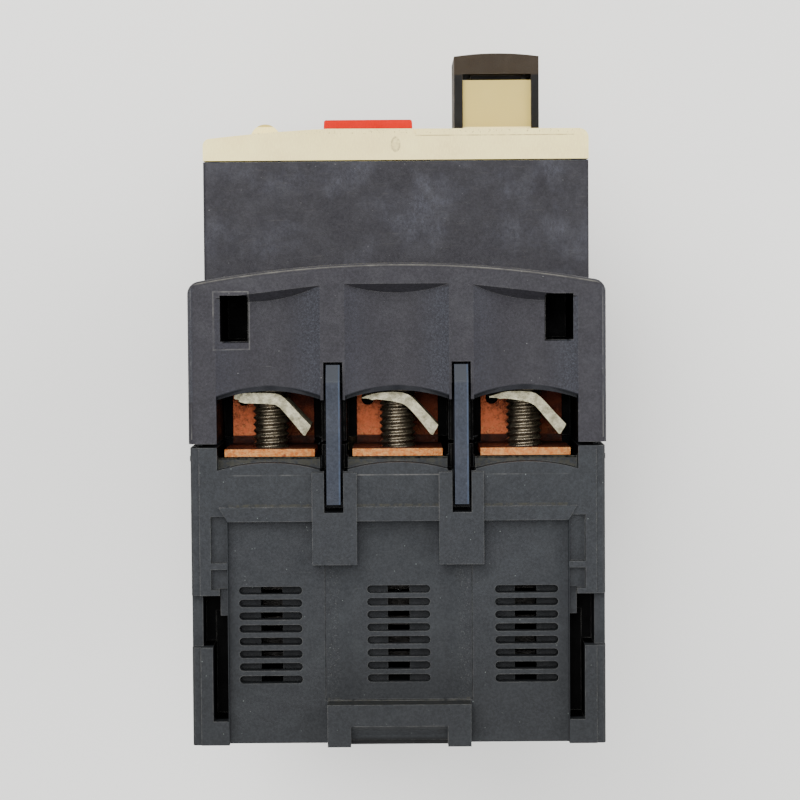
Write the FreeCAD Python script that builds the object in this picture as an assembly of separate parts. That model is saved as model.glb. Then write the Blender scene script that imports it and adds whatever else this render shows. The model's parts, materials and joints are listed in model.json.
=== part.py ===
import FreeCAD, Part

import math
import os

# Motor protection breaker, three poles, as it hangs on a 35 mm rail.
# X runs across the width (+X is the right side seen from the front), Z runs up.
# The operator front faces -Y.  Y = 0 is the plane where the rail's flange sits.
# Inside this file every part is given by x, depth in front of the rear face, and z.

# ---- Envelope ----
WIDTH = 44.5
HEIGHT = 89.0
HALF_W = WIDTH / 2
HALF_H = HEIGHT / 2
SHROUD_HALF_W = 22.4        # the terminal shrouds stand a little proud at the sides
SEAT_DEPTH = 7.0            # rear face to the rail seat
BASE_TOP = 32.1             # depth where the rear base ends
HOUSING_LOW = 32.5          # depth where the front housing and the shrouds start
NOSE_HALF_H = 22.5          # the operator nose fits a 45 mm cut-out
NOSE_TOP = 63.65
COVER_LOW = 63.8
EDGE_ROUND = 0.8            # round on the long corner edges
NOSE_ROUND = 0.4

# ---- Poles and ends ----
POLE_PITCH = 13.8
POLES = [POLE_PITCH, 0.0, -POLE_PITCH]
POLE_ROOM = 6.1             # half width of the inside of a pole
ENDS = {"line": 1, "load": -1}

# ---- Rail, its hooks and the sliding clip ----
RAIL_HALF = 17.5            # 35 mm rail
RAIL_FLANGE = 1.0
RAIL_PLAY = 0.15
SEAT_HALF = 15.6            # the seat pad ends just inside the hooks
HOOK_GRIP = 1.6             # how far a hook reaches over the rail's flange
HOOK_THICK = 1.5
CLIP_HALF_W = 7.9
CLIP_PLAY = 0.3
CLIP_TRAVEL = 3.0
CLIP_REAR = 1.0
CLIP_FRONT = 4.2
CLIP_TAIL = 47.0            # how low the pull tab reaches

# ---- Terminal shroud and its scalloped end face ----
SHROUD_SIDE = 49.7          # depth of the shroud's front at its sides
SHROUD_MID = 51.8           # and on the centre line
SHROUD_CORNER = 1.4
SCALLOP_HALF = 5.6
SCALLOP_DEEP = 1.9
SCALLOP_DROP = 2.2          # from the shroud's crowned front to the scallop's upper end
CROWN_R = (SHROUD_HALF_W ** 2 + (SHROUD_MID - SHROUD_SIDE) ** 2) / (2 * (SHROUD_MID - SHROUD_SIDE))
MOUTH_HALF = 5.55           # wire mouth
MOUTH_SPRING = 37.15
MOUTH_PEAK = 38.1
MOUTH_BEVEL = 0.4
MOUTH_LIP = 42.0            # z where the thin front lip of the mouth begins
CHAMBER_BACK = 32.1         # z of the terminal chamber's inner wall
CHAMBER_TOP = 38.6
FLOOR = 30.9                # depth of the terminal floor
SILL_SIDE = 29.65
SILL_PEAK = 30.45
DIVIDER_END = 39.3          # z where the wall between two wire mouths stops

# ---- Terminal ----
SCREW_Z = 38.5
SCREW_R = 2.0               # M4
SCREW_HEAD_R = 3.05
SCREW_HEAD_H = 2.4
SCREW_TIP = 29.6
BAR_LOW = 31.0
BAR_TOP = 31.8
BAR_HALF = 4.85
BAR_END = 42.5
BACK_HALF = 4.5             # the back plate that stands up behind the screw
BACK_TOP = 38.2
BEND_R = 0.9
TAIL_HALF = 2.2             # half width of the conductors inside the breaker
CLAMP_LOW = 36.65
CLAMP_TOP = 37.9
CLAMP_Z = (35.2, 41.8)
DRIVER_R = 3.3              # screwdriver well

# ---- Contacts ----
ARM_LOW = 21.0
ARM_TOP = 22.0
TIP_LOW = 20.2
TIP_Z = 14.5
TIP_R = 2.0
BRIDGE_LOW = 16.2
BRIDGE_TOP = 17.4
BRIDGE_TIP = 18.0
BRIDGE_HALF = 16.7
CROSSBAR = (23.5, 26.5)

# ---- Magnetic trip ----
COIL_Z = -5.0
COIL_R = 4.8
COIL_BORE = 3.0
COIL = (31.0, 42.7)
YOKE_LOW = 29.6
YOKE_TOP = 44.2
SHEET = 1.1
PLUNGER_R = 2.5
PLUNGER_PIN_R = 1.2
PLUNGER_PIN_END = 29.0

# ---- Thermal trip ----
BIMETAL_Z = -15.7
BIMETAL_TOP = 56.0
TRIP_BAR_Z = -12.0
TRIP_BAR_DEPTH = 57.5
TRIP_BAR_R = 1.3

# ---- Front cover and operators ----
COVER_TOP = 67.4
START = (-16.95, -6.95, 1.95, 15.05)     # x and z limits of the start button
START_TOP = 76.6
START_BAND = 74.2
START_CORE_TOP = 73.5
STOP = (-2.2, 8.7, 1.95, 15.05)
STOP_TOP = 68.9
BUTTON_GAP = 0.3
BUTTON_FOOT = 60.0
DIAL_X = 9.0
DIAL_Z = -11.5
DIAL_R = 5.2
DIAL_TOP = 66.9
TEST_X = -12.0
TEST_Z = -12.0
LUG_X = 15.3

# ---- Phase barriers ----
BARRIER_X = 6.86
BARRIER_THICK = 1.48
BARRIER = (26.0, 40.9)
BARRIER_OUT = 45.5
BARRIER_IN = 39.4

AXIS_X = FreeCAD.Vector(1, 0, 0)
AXIS_Y = FreeCAD.Vector(0, 1, 0)
AXIS_Z = FreeCAD.Vector(0, 0, 1)
ORIGIN = FreeCAD.Vector(0, 0, 0)


# ------------------------------------------------------------------ helpers

def at(x, depth, z):
    return FreeCAD.Vector(x, SEAT_DEPTH - depth, z)


def block(x0, x1, d0, d1, z0, z1):
    return Part.makeBox(x1 - x0, d1 - d0, z1 - z0, at(x0, d1, z0))


def centred(x, half, d0, d1, z0, z1):
    return block(x - half, x + half, d0, d1, z0, z1)


def post(x, z, radius, d0, d1):
    """Cylinder along the depth."""
    return Part.makeCylinder(radius, d1 - d0, at(x, d1, z), AXIS_Y)


def roller(depth, z, radius, x0, x1):
    """Cylinder across the width."""
    return Part.makeCylinder(radius, x1 - x0, at(x0, depth, z), AXIS_X)


def pillar(x, depth, radius, z0, z1):
    """Cylinder up the height."""
    return Part.makeCylinder(radius, z1 - z0, at(x, depth, z0), AXIS_Z)


def upright_prism(outline, z0, z1):
    """Prism along z from (x, depth) corners."""
    corners = [at(x, depth, z0) for x, depth in outline]
    face = Part.Face(Part.makePolygon(corners + corners[:1]))
    return face.extrude(FreeCAD.Vector(0, 0, z1 - z0))


def depth_prism(outline, d0, d1):
    """Prism along the depth from (x, z) corners."""
    corners = [at(x, d0, z) for x, z in outline]
    face = Part.Face(Part.makePolygon(corners + corners[:1]))
    return face.extrude(FreeCAD.Vector(0, d0 - d1, 0))


def cross_prism(outline, x0, x1):
    """Prism along x from (depth, z) corners."""
    corners = [at(x0, depth, z) for depth, z in outline]
    face = Part.Face(Part.makePolygon(corners + corners[:1]))
    return face.extrude(FreeCAD.Vector(x1 - x0, 0, 0))


def arched(x, half, low, side, peak, z0, z1):
    """Block along z whose front is an arc, from side at its edges to peak in the middle."""
    left, right = at(x - half, side, z0), at(x + half, side, z0)
    left_low, right_low = at(x - half, low, z0), at(x + half, low, z0)
    edges = [
        Part.LineSegment(left_low, right_low).toShape(),
        Part.LineSegment(right_low, right).toShape(),
        Part.Arc(right, at(x, peak, z0), left).toShape(),
        Part.LineSegment(left, left_low).toShape(),
    ]
    return Part.Face(Part.Wire(edges)).extrude(FreeCAD.Vector(0, 0, z1 - z0))


def tube(x, z, outer, inner, d0, d1):
    return post(x, z, outer, d0, d1).cut(post(x, z, inner, d0, d1))


def fuse(shapes):
    """One solid from touching pieces."""
    return shapes[0].multiFuse(shapes[1:]).removeSplitter()


def group(shapes):
    """Several separate solids kept together."""
    return Part.makeCompound(shapes)


def flipped(shape):
    """The same piece at the other end of the breaker."""
    return shape.mirror(ORIGIN, AXIS_Z)


def both_ends(shapes):
    return shapes + [flipped(shape) for shape in shapes]


def round_edges(shape, radius, along, is_wanted):
    """Round the straight edges along one axis whose middle point is wanted."""
    chosen = []
    for edge in shape.Edges:
        box = edge.BoundBox
        size = {"X": box.XLength, "Y": box.YLength, "Z": box.ZLength}
        across = max(size[name] for name in size if name != along)
        if across < 1e-6 < size[along] and is_wanted(box.Center):
            chosen.append(edge)
    return shape.makeFillet(radius, chosen)


# ------------------------------------------------------------------ rear base

def vent_slots(pole):
    """Eight round-ended slots of one grille, through the end wall."""
    half, high, first, pitch, count = 3.4, 0.84, 6.92, 1.38, 8
    slots = []
    for row in range(count):
        depth = first + row * pitch
        straight = half - high / 2
        slots.append(centred(pole, straight, depth - high / 2, depth + high / 2, 41.5, 45))
        slots.append(pillar(pole - straight, depth, high / 2, 41.5, 45))
        slots.append(pillar(pole + straight, depth, high / 2, 41.5, 45))
    return slots


def sill_cut(pole):
    """Room over the sill of one wire mouth, whose front edge is an arc."""
    room = centred(pole, MOUTH_HALF, SILL_SIDE - 1, BASE_TOP + 1, BAR_END - 0.1, HALF_H + 1)
    sill = arched(pole, MOUTH_HALF, SILL_SIDE - 1, SILL_SIDE, SILL_PEAK, BAR_END - 0.1, HALF_H + 1)
    return room.cut(sill)


END_POCKETS = [                     # limits in x and depth, then the z of the floor
    (18.35, 20.0, 2.6, 13.9, 38.6),
    (18.35, 19.2, 13.9, 16.9, 43.2),
    (19.2, 21.1, 10.6, 16.2, 38.8),
    (21.0, HALF_W + 1, 10.6, 16.2, 43.2),
    (18.35, 20.1, 16.8, 19.0, 43.7),
    (18.35, 20.1, 19.7, 24.7, 43.7),
    (21.3, HALF_W + 1, -1, BASE_TOP + 1, HALF_H - 0.2),
]


def end_relief():
    """Everything cut into the line end of the base."""
    panel = 43.3
    valley = [(-8.0, panel + 0.1), (-7.9, panel - 0.2), (-5.0, panel - 0.6), (5.0, panel - 0.6),
              (7.9, panel - 0.2), (8.0, panel + 0.1)]
    cuts = [
        centred(0, 18.3, -1, 24.15, panel, HALF_H + 1),
        depth_prism(valley, 4.6, 24.15),
    ]
    for side in (-1, 1):
        for near, far, low, high, floor in END_POCKETS:
            inner, outer = sorted((side * near, side * far))
            cuts.append(block(inner, outer, low, high, floor, HALF_H + 1))
    for pole in POLES:
        cuts += vent_slots(pole)
        cuts.append(centred(pole, 4.4, 6.3, 17.4, 41.0, 41.8))
        cuts.append(centred(pole, 1.18, 6.3, 17.4, 37, 41.1))
        cuts.append(centred(pole, POLE_ROOM, 6.3, 19.5, 19.5, 37.4))
        cuts.append(centred(pole, MOUTH_HALF, FLOOR, BASE_TOP + 1, 30, HALF_H + 1))
        cuts.append(sill_cut(pole))
        cuts.append(post(pole, SCREW_Z, SCREW_R + 0.35, 26.5, FLOOR + 1))
    return cuts + divider_cuts(29.5, BASE_TOP + 1)


def barrier_slots(low, high):
    return [centred(side * BARRIER_X, 1.03, low, high, BARRIER_IN - 0.2, BARRIER_OUT + 1)
            for side in (-1, 1)]


def divider_cuts(low, high):
    """The walls between the wire mouths stop short of the end face."""
    return [centred(side * BARRIER_X, BARRIER_X - MOUTH_HALF + 0.2, low, high, DIVIDER_END, HALF_H + 1)
            for side in (-1, 1)]


def rail_cuts():
    """Rail channel with its seat pad, and the clip's recess."""
    top = RAIL_HALF + 0.2
    recess = CLIP_HALF_W + CLIP_PLAY
    return [
        block(-HALF_W - 1, HALF_W + 1, -1, SEAT_DEPTH + 0.3, SEAT_HALF, top),
        block(-HALF_W - 1, HALF_W + 1, -1, SEAT_DEPTH + 0.3, -top, -SEAT_HALF),
        block(-HALF_W - 1, HALF_W + 1, -1, SEAT_DEPTH, -top, top),
        centred(0, recess, -1, CLIP_FRONT + CLIP_PLAY, -HALF_H - 1, -top),
        centred(0, recess, -1, SEAT_DEPTH - 1, -top - CLIP_TRAVEL - 0.5, -top + 1),
    ]


def fixed_hooks():
    """Two lips over the upper flange of the rail."""
    front = SEAT_DEPTH - RAIL_FLANGE - RAIL_PLAY
    low = RAIL_HALF - HOOK_GRIP
    hooks = []
    for side in (-1, 1):
        inner, outer = sorted((side * 8.5, side * 20.5))
        hooks.append(block(inner, outer, front - HOOK_THICK, front, low, RAIL_HALF + 1))
    return hooks


def rear_base():
    shell = block(-HALF_W, HALF_W, 0, BASE_TOP, -HALF_H, HALF_H)
    shell = round_edges(shell, EDGE_ROUND, "Y", lambda p: True)
    inside = [centred(pole, POLE_ROOM, 8.6, BASE_TOP + 1, -31, 31) for pole in POLES]
    inside.append(centred(0, 19.9, 19.9, BASE_TOP + 1, -9, 9))
    shell = shell.cut(inside + both_ends(end_relief()) + rail_cuts())
    ledge = [upright_prism([(-18.25, 24.15), (18.25, 24.15), (19.2, 25.7), (-19.2, 25.7)], 43, HALF_H + 0.3)]
    for side in (-1, 1):
        inner, outer = sorted((side * 4.4, side * 9.2))
        ledge.append(block(inner, outer, 19.5, 29.4, 43, HALF_H + 0.7))
    tab = centred(0, 7.7, 0, 4.55, 42, 46)
    scoop = [(2.2, 47), (2.2, 45.9), (1.7, 45.2), (1.1, 44.75), (0.5, 44.6), (0.5, 44.2),
             (-1, 44.2), (-1, 47)]
    tab = tab.cut(cross_prism(scoop, -5.2, 5.2))
    bosses = []
    for x, z in screw_places():
        bosses.append(post(x, z, 2.0, 19.5, BASE_TOP))
    peg = centred(0, 1.6, 1.3, 4.7, -37.6, -36.4)
    body = fuse([shell] + both_ends(ledge) + [tab, peg] + bosses + fixed_hooks())
    holes = [post(x, z, 1.25, 21, BASE_TOP + 1) for x, z in screw_places()]
    return body.cut(both_ends(barrier_slots(25.1, BASE_TOP + 1)) + holes)


def rail_clip():
    """Sliding hook with its pull tab, and a window for its spring."""
    front = SEAT_DEPTH - RAIL_FLANGE - RAIL_PLAY
    tip = RAIL_HALF - HOOK_GRIP
    plate = centred(0, CLIP_HALF_W, CLIP_REAR, CLIP_FRONT, -CLIP_TAIL, -tip)
    hook = centred(0, CLIP_HALF_W, CLIP_FRONT - 0.1, front, -RAIL_HALF - 0.1, -tip)
    nose = cross_prism([(CLIP_REAR, -tip + 0.1), (CLIP_REAR, -tip - 2.4), (front - 1.5, -tip + 0.1)],
                       -CLIP_HALF_W - 1, CLIP_HALF_W + 1)
    window = centred(0, 2.1, 0, 5, -38.0, -30.0)
    driver_slot = centred(0, 2.5, 0, 5, -46.2, -45.0)
    return fuse([plate, hook]).cut([window, nose, driver_slot])


def clip_spring():
    tall, outer, inner = 6.0, 1.35, 0.75
    depth = (CLIP_REAR + CLIP_FRONT) / 2
    ring = pillar(0, depth, outer, -36.3, -36.3 + tall)
    return ring.cut(pillar(0, depth, inner, -36.3, -36.3 + tall))


# ------------------------------------------------------------------ front housing

def screw_places():
    return [(18.2, 26.0), (-18.2, 26.0), (18.2, -26.0), (-18.2, -26.0)]


def scallop(pole):
    """Concave groove down the shroud's end face; its sloped upper end follows the crowned front."""
    tilt = math.asin(pole / CROWN_R)
    top = SHROUD_MID - CROWN_R * (1 - math.cos(tilt)) - SCALLOP_DROP
    radius = (SCALLOP_HALF ** 2 + SCALLOP_DEEP ** 2) / (2 * SCALLOP_DEEP)
    z_axis = HALF_H - SCALLOP_DEEP + radius
    groove = post(pole, z_axis, radius, MOUTH_SPRING - 0.5, top + 1.5)
    bottom = HALF_H - SCALLOP_DEEP - 0.2
    slope = [(top, HALF_H + 0.1), (top + 3, HALF_H + 0.1), (top + 3, bottom), (top - 1.1, bottom)]
    end = cross_prism(slope, pole - SCALLOP_HALF - 4, pole + SCALLOP_HALF + 4)
    end.rotate(at(pole, top, HALF_H), AXIS_Z, math.degrees(tilt))
    return groove.cut(end)


def mouth_cuts(pole):
    """Terminal chamber behind one wire mouth, with the arched and bevelled lip."""
    chamber = centred(pole, MOUTH_HALF, HOUSING_LOW - 1, CHAMBER_TOP, CHAMBER_BACK, MOUTH_LIP)
    lip = arched(pole, MOUTH_HALF, HOUSING_LOW - 1, MOUTH_SPRING, MOUTH_PEAK, MOUTH_LIP - 0.1, HALF_H + 1)
    rim = arched(pole, MOUTH_HALF, HOUSING_LOW - 1, MOUTH_SPRING + MOUTH_BEVEL, MOUTH_PEAK + MOUTH_BEVEL,
                 HALF_H - SCALLOP_DEEP + 0.35, HALF_H + 1)
    return [chamber, lip, rim]


def shroud_cuts():
    cuts = []
    for pole in POLES:
        cuts += mouth_cuts(pole)
        cuts.append(post(pole, SCREW_Z, DRIVER_R, CHAMBER_TOP - 1, SHROUD_MID + 2))
        cuts.append(scallop(pole))
    for side in (-1, 1):
        inner, outer = sorted((side * 16.0, side * 18.9))
        cuts.append(block(inner, outer, 43.45, 48.4, 31.5, HALF_H + 1))
    for x, z in screw_places():
        if z > 0:
            cuts.append(post(x, z, 2.45, 46.5, SHROUD_MID + 2))
            cuts.append(post(x, z, 1.35, HOUSING_LOW - 1, SHROUD_MID))
    return cuts + barrier_slots(HOUSING_LOW - 1, 41.2) + divider_cuts(HOUSING_LOW - 1, MOUTH_SPRING)


def terminal_shroud():
    """Shroud of the line end: crowned front, three wire mouths, three screwdriver wells."""
    body = arched(0, SHROUD_HALF_W, HOUSING_LOW, SHROUD_SIDE, SHROUD_MID, NOSE_HALF_H, HALF_H)
    body = round_edges(body, SHROUD_CORNER, "Z", lambda p: p.y < SEAT_DEPTH - SHROUD_SIDE + 0.1)
    body = round_edges(body, EDGE_ROUND, "Y", lambda p: abs(p.x) > HALF_W - 0.1 and p.z > HALF_H - 0.1)
    hollow = centred(0, 16.0, HOUSING_LOW - 1, 46, NOSE_HALF_H + 1.5, 30.5)
    return body.cut([hollow] + shroud_cuts())


def side_windows():
    """Shallow recesses in the nose's sides where side-mounted accessories reach in."""
    deep, shallow = HALF_W - 1.2, HALF_W - 0.5
    windows = [block(deep, HALF_W + 1, 38, 46, 3, 12),
               block(deep, HALF_W + 1, 52, 55, 6, 12),
               block(shallow, HALF_W + 1, 36, 37, -16, 16)]
    return windows + [shape.mirror(ORIGIN, AXIS_X) for shape in windows]


def front_housing():
    """The operator nose, open towards the base and closed by the front cover."""
    body = block(-HALF_W, HALF_W, HOUSING_LOW, NOSE_TOP, -NOSE_HALF_H, NOSE_HALF_H)
    body = round_edges(body, NOSE_ROUND, "Y", lambda p: True)
    body = body.cut(centred(0, 20.6, HOUSING_LOW - 1, NOSE_TOP + 1, -20.6, 20.6))
    lugs = []
    for side in (-1, 1):
        inner, outer = sorted((side * 18.9, side * 21))
        lug = block(inner, outer, 54.5, 60.5, TRIP_BAR_Z - 3, TRIP_BAR_Z + 3)
        lugs.append(lug.cut(roller(TRIP_BAR_DEPTH, TRIP_BAR_Z, TRIP_BAR_R + 0.08, -20.6, 20.6)))
    return fuse([body] + lugs).cut(side_windows())


def housing_screws():
    screws = []
    for x, z in screw_places():
        shank = post(x, z, 1.2, 21.5, 46.6)
        head = post(x, z, 2.3, 46.55, 48.4)
        recess = [centred(x, 1.3, 47.5, 49, z - 0.3, z + 0.3), centred(x, 0.3, 47.5, 49, z - 1.3, z + 1.3)]
        screws.append(fuse([shank, head]).cut(recess))
    return group(screws)


def phase_barrier(side):
    """Thin plate between two terminals, its outer upper corner cut at a slant."""
    half = BARRIER_THICK / 2
    low, high = BARRIER
    outline = [(low, BARRIER_IN), (low, BARRIER_OUT), (high - 1.7, BARRIER_OUT), (high, BARRIER_OUT - 1.1),
               (high, BARRIER_IN)]
    return cross_prism(outline, side * BARRIER_X - half, side * BARRIER_X + half)


# ------------------------------------------------------------------ terminals

def terminal_plate(pole):
    """Clamping plate with the back plate that stands up behind the screw."""
    rear, front = CHAMBER_BACK + 0.3, CHAMBER_BACK + 1.2
    plate = centred(pole, BAR_HALF, BAR_LOW, BAR_TOP, rear, BAR_END)
    back = centred(pole, BACK_HALF, BAR_TOP - 0.1, BACK_TOP, rear, front)
    bend = centred(pole, BACK_HALF, BAR_TOP - 0.1, BAR_TOP + BEND_R, front - 0.1, front + BEND_R)
    bend = bend.cut(roller(BAR_TOP + BEND_R, front + BEND_R, BEND_R, pole - BAR_HALF, pole + BAR_HALF))
    hole = pillar(pole + 3.3, 36.75, 0.7, rear - 1, front + 1)
    return [plate, bend, back.cut(hole)]


def line_bar(pole):
    """Line conductor: terminal plate, leg down into the pole, arm with the fixed contact."""
    strip = centred(pole, TAIL_HALF, BAR_LOW, BAR_TOP, 29.2, CHAMBER_BACK + 1)
    leg = centred(pole, TAIL_HALF, ARM_LOW, BAR_TOP, 29.2, 30.2)
    arm = centred(pole, TAIL_HALF, ARM_LOW, ARM_TOP, TIP_Z - 2, 30.2)
    tip = post(pole, TIP_Z, TIP_R, TIP_LOW, ARM_LOW + 0.1)
    return fuse(terminal_plate(pole) + [strip, leg, arm, tip]).cut(screw_hole(pole))


def screw_hole(pole):
    return post(pole, SCREW_Z, SCREW_R + 0.05, BAR_LOW - 1, BAR_TOP + 0.4)


def load_bar(pole):
    """Load conductor: terminal plate and a straight strip to the foot of the bimetal."""
    strip = centred(pole, TAIL_HALF, BAR_LOW, BAR_TOP, 14.0, CHAMBER_BACK + 1)
    return flipped(fuse(terminal_plate(pole) + [strip]).cut(screw_hole(pole)))


def clamp_plate(pole):
    """Wire clamp: flat over the wire, with a bent heel on one side of the screw."""
    outline = [(3.9, CLAMP_LOW), (3.9, CLAMP_TOP), (-1.35, CLAMP_TOP), (-4.45, 34.3),
               (-3.8, 33.15), (-3.45, 33.4), (-0.85, CLAMP_LOW)]
    plate = upright_prism([(pole + x, depth) for x, depth in outline], CLAMP_Z[0], CLAMP_Z[1])
    plate = round_edges(plate, 0.8, "Z", lambda p: abs(p.x - pole + 1.35) < 0.01)
    plate = round_edges(plate, 0.35, "Z", lambda p: p.x - pole > 3.8)
    return plate.cut(post(pole, SCREW_Z, SCREW_R + 0.1, CLAMP_LOW - 3, CLAMP_TOP + 1))


def terminal_screw(pole):
    head_low = CLAMP_TOP + 0.03
    head_top = head_low + SCREW_HEAD_H
    shank = post(pole, SCREW_Z, SCREW_R, SCREW_TIP, head_low + 0.1)
    head = post(pole, SCREW_Z, SCREW_HEAD_R, head_low, head_top)
    wide, narrow, deep = 1.8, 0.45, 1.3
    slots = [centred(pole, wide, head_top - deep, head_top + 1, SCREW_Z - narrow, SCREW_Z + narrow),
             centred(pole, narrow, head_top - deep, head_top + 1, SCREW_Z - wide, SCREW_Z + wide)]
    return fuse([shank, head]).cut(slots)


# ------------------------------------------------------------------ contacts and arc chutes

def contact_bridge(pole):
    bar = centred(pole, TAIL_HALF, BRIDGE_LOW, BRIDGE_TOP, -BRIDGE_HALF, BRIDGE_HALF)
    tips = [post(pole, side * TIP_Z, TIP_R, BRIDGE_TOP - 0.1, BRIDGE_TIP) for side in (-1, 1)]
    return fuse([bar] + tips)


def contact_carrier():
    """Insulating crossbar with a leg to each bridge and the post that the mechanism lifts."""
    crossbar = centred(0, 19.4, CROSSBAR[0], CROSSBAR[1], -8, 7.5)
    legs = [centred(pole, 2.6, BRIDGE_TOP, CROSSBAR[0] + 0.1, -3, 3) for pole in POLES]
    link = centred(3.5, 3, CROSSBAR[1] - 0.1, 40, 4, 7)
    return fuse([crossbar, link] + legs)


def contact_springs():
    return group([tube(pole, 0, 2.4, 1.8, 8.65, BRIDGE_LOW - 0.05) for pole in POLES])


def arc_plates():
    """Stacks of de-ion plates at one end, each with a notch towards the contacts."""
    count, thick, pitch, first = 6, 1.0, 2.0, 7.6
    plates = []
    for pole in POLES:
        for row in range(count):
            low = first + row * pitch
            plate = centred(pole, 5.2, low, low + thick, 20.0, 34.6)
            notch = centred(pole, 1.3, low - 1, low + thick + 1, 19, 27)
            plates.append(plate.cut([notch, post(pole, 27, 1.3, low - 1, low + thick + 1)]))
    return plates


# ------------------------------------------------------------------ trips

def trip_coil(pole):
    """Winding with its arm to the load-side fixed contact and its strap to the bimetal."""
    winding = tube(pole, COIL_Z, COIL_R, COIL_BORE, COIL[0], COIL[1])
    leg_z = COIL_Z - COIL_R
    leg = centred(pole, TAIL_HALF, ARM_LOW, COIL[0] + 1.5, leg_z - 1, leg_z + 0.1)
    foot = centred(pole, TAIL_HALF, COIL[0], COIL[0] + 1.5, leg_z, leg_z + 1)
    arm = centred(pole, TAIL_HALF, ARM_LOW, ARM_TOP, -TIP_Z - 2.2, leg_z)
    tip = post(pole, -TIP_Z, TIP_R, TIP_LOW, ARM_LOW + 0.1)
    strap = centred(pole, 1.5, COIL[1] - 1.2, COIL[1] - 0.2, BIMETAL_Z + 0.55, leg_z + 1)
    return fuse([winding, leg, foot, arm, tip, strap])


def trip_yoke(pole):
    far = 1.4
    low = centred(pole, 4.5, YOKE_LOW, YOKE_LOW + SHEET, COIL_Z - 4.4, far)
    side = centred(pole, 4.5, YOKE_LOW, YOKE_TOP, far - SHEET, far)
    top = centred(pole, 4.5, YOKE_TOP - SHEET, YOKE_TOP, COIL_Z - 4.4, far)
    holes = [post(pole, COIL_Z, PLUNGER_PIN_R + 0.08, YOKE_LOW - 1, YOKE_LOW + 2),
             post(pole, COIL_Z, PLUNGER_R + 0.08, YOKE_TOP - 2, YOKE_TOP + 1)]
    return fuse([low, side, top]).cut(holes)


def trip_plunger(pole):
    pin = post(pole, COIL_Z, PLUNGER_PIN_R, PLUNGER_PIN_END, 36.1)
    core = post(pole, COIL_Z, PLUNGER_R, 36.0, 49.0)
    flange = post(pole, COIL_Z, 3.6, 47.6, 49.0)
    return fuse([pin, core, flange])


def bimetal(pole):
    """Strip that bends towards the trip bar, wrapped by its heater."""
    half = 0.5
    strip = centred(pole, TAIL_HALF, BAR_TOP + 0.02, BIMETAL_TOP, BIMETAL_Z - half, BIMETAL_Z + half)
    pieces = [strip]
    for row in range(5):
        low = 34.5 + 1.25 * row
        pieces.append(centred(pole, 3.1, low, low + 0.9, BIMETAL_Z - 1.4, BIMETAL_Z + 1.4))
    return fuse(pieces)


def trip_bar():
    shaft = roller(TRIP_BAR_DEPTH, TRIP_BAR_Z, TRIP_BAR_R, -20.4, 20.4)
    fingers = [centred(pole, 1.6, 52.5, TRIP_BAR_DEPTH, TRIP_BAR_Z - 1.9, TRIP_BAR_Z - 0.3)
               for pole in POLES]
    lever = centred(-3.0, 1.2, TRIP_BAR_DEPTH - 1, TRIP_BAR_DEPTH + 1, TRIP_BAR_Z, TRIP_BAR_Z + 6)
    return fuse([shaft, lever] + fingers)


# ------------------------------------------------------------------ mechanism

def mechanism_frame():
    """Bent steel frame that carries the toggle lever and the stop spring's seat."""
    left = block(-5.5, -4.5, 42.9, 54, 2, 19)
    right = block(12.4, 13.4, 42.9, 54, 2, 19)
    top = block(-5.5, 13.4, 53, 54, 2, 19)
    feet = [block(-9.0, -4.5, 42.9, 43.9, 2, 19.8), block(12.4, 17.5, 42.9, 43.9, 2, 19.8)]
    bearing = roller(48, 11, 1.28, -6, 14)
    return fuse([left, right, top] + feet).cut(bearing)


def toggle_lever():
    pin = roller(48, 11, 1.2, -5.5, 13.4)
    arm = block(-3, 11, 47.2, 48.8, 5, 17)
    return fuse([pin, arm])


# ------------------------------------------------------------------ front cover and operators

def cover_outline():
    """Closed outline of the cover in x and depth: crowned, with rounded outer corners."""
    z = -NOSE_HALF_H
    low = COVER_LOW
    right_top, right_side = at(HALF_W - 0.8, 66.35, z), at(HALF_W, 65.5, z)
    left_top, left_side = at(-HALF_W + 1.2, COVER_TOP - 0.1, z), at(-HALF_W, 66.1, z)
    crown_end = at(8.0, COVER_TOP, z)
    edges = [
        Part.LineSegment(at(-HALF_W, low, z), at(HALF_W, low, z)).toShape(),
        Part.LineSegment(at(HALF_W, low, z), right_side).toShape(),
        Part.Arc(right_side, at(HALF_W - 0.25, 66.1, z), right_top).toShape(),
        Part.Arc(right_top, at(15.5, 66.93, z), crown_end).toShape(),
        Part.LineSegment(crown_end, left_top).toShape(),
        Part.Arc(left_top, at(-HALF_W + 0.35, 67.0, z), left_side).toShape(),
        Part.LineSegment(left_side, at(-HALF_W, low, z)).toShape(),
    ]
    return Part.Face(Part.Wire(edges))


def button_hole(limits, gap):
    x0, x1, z0, z1 = limits
    return block(x0 - gap, x1 + gap, COVER_LOW - 3, COVER_TOP + 3, z0 - gap, z1 + gap)


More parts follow.
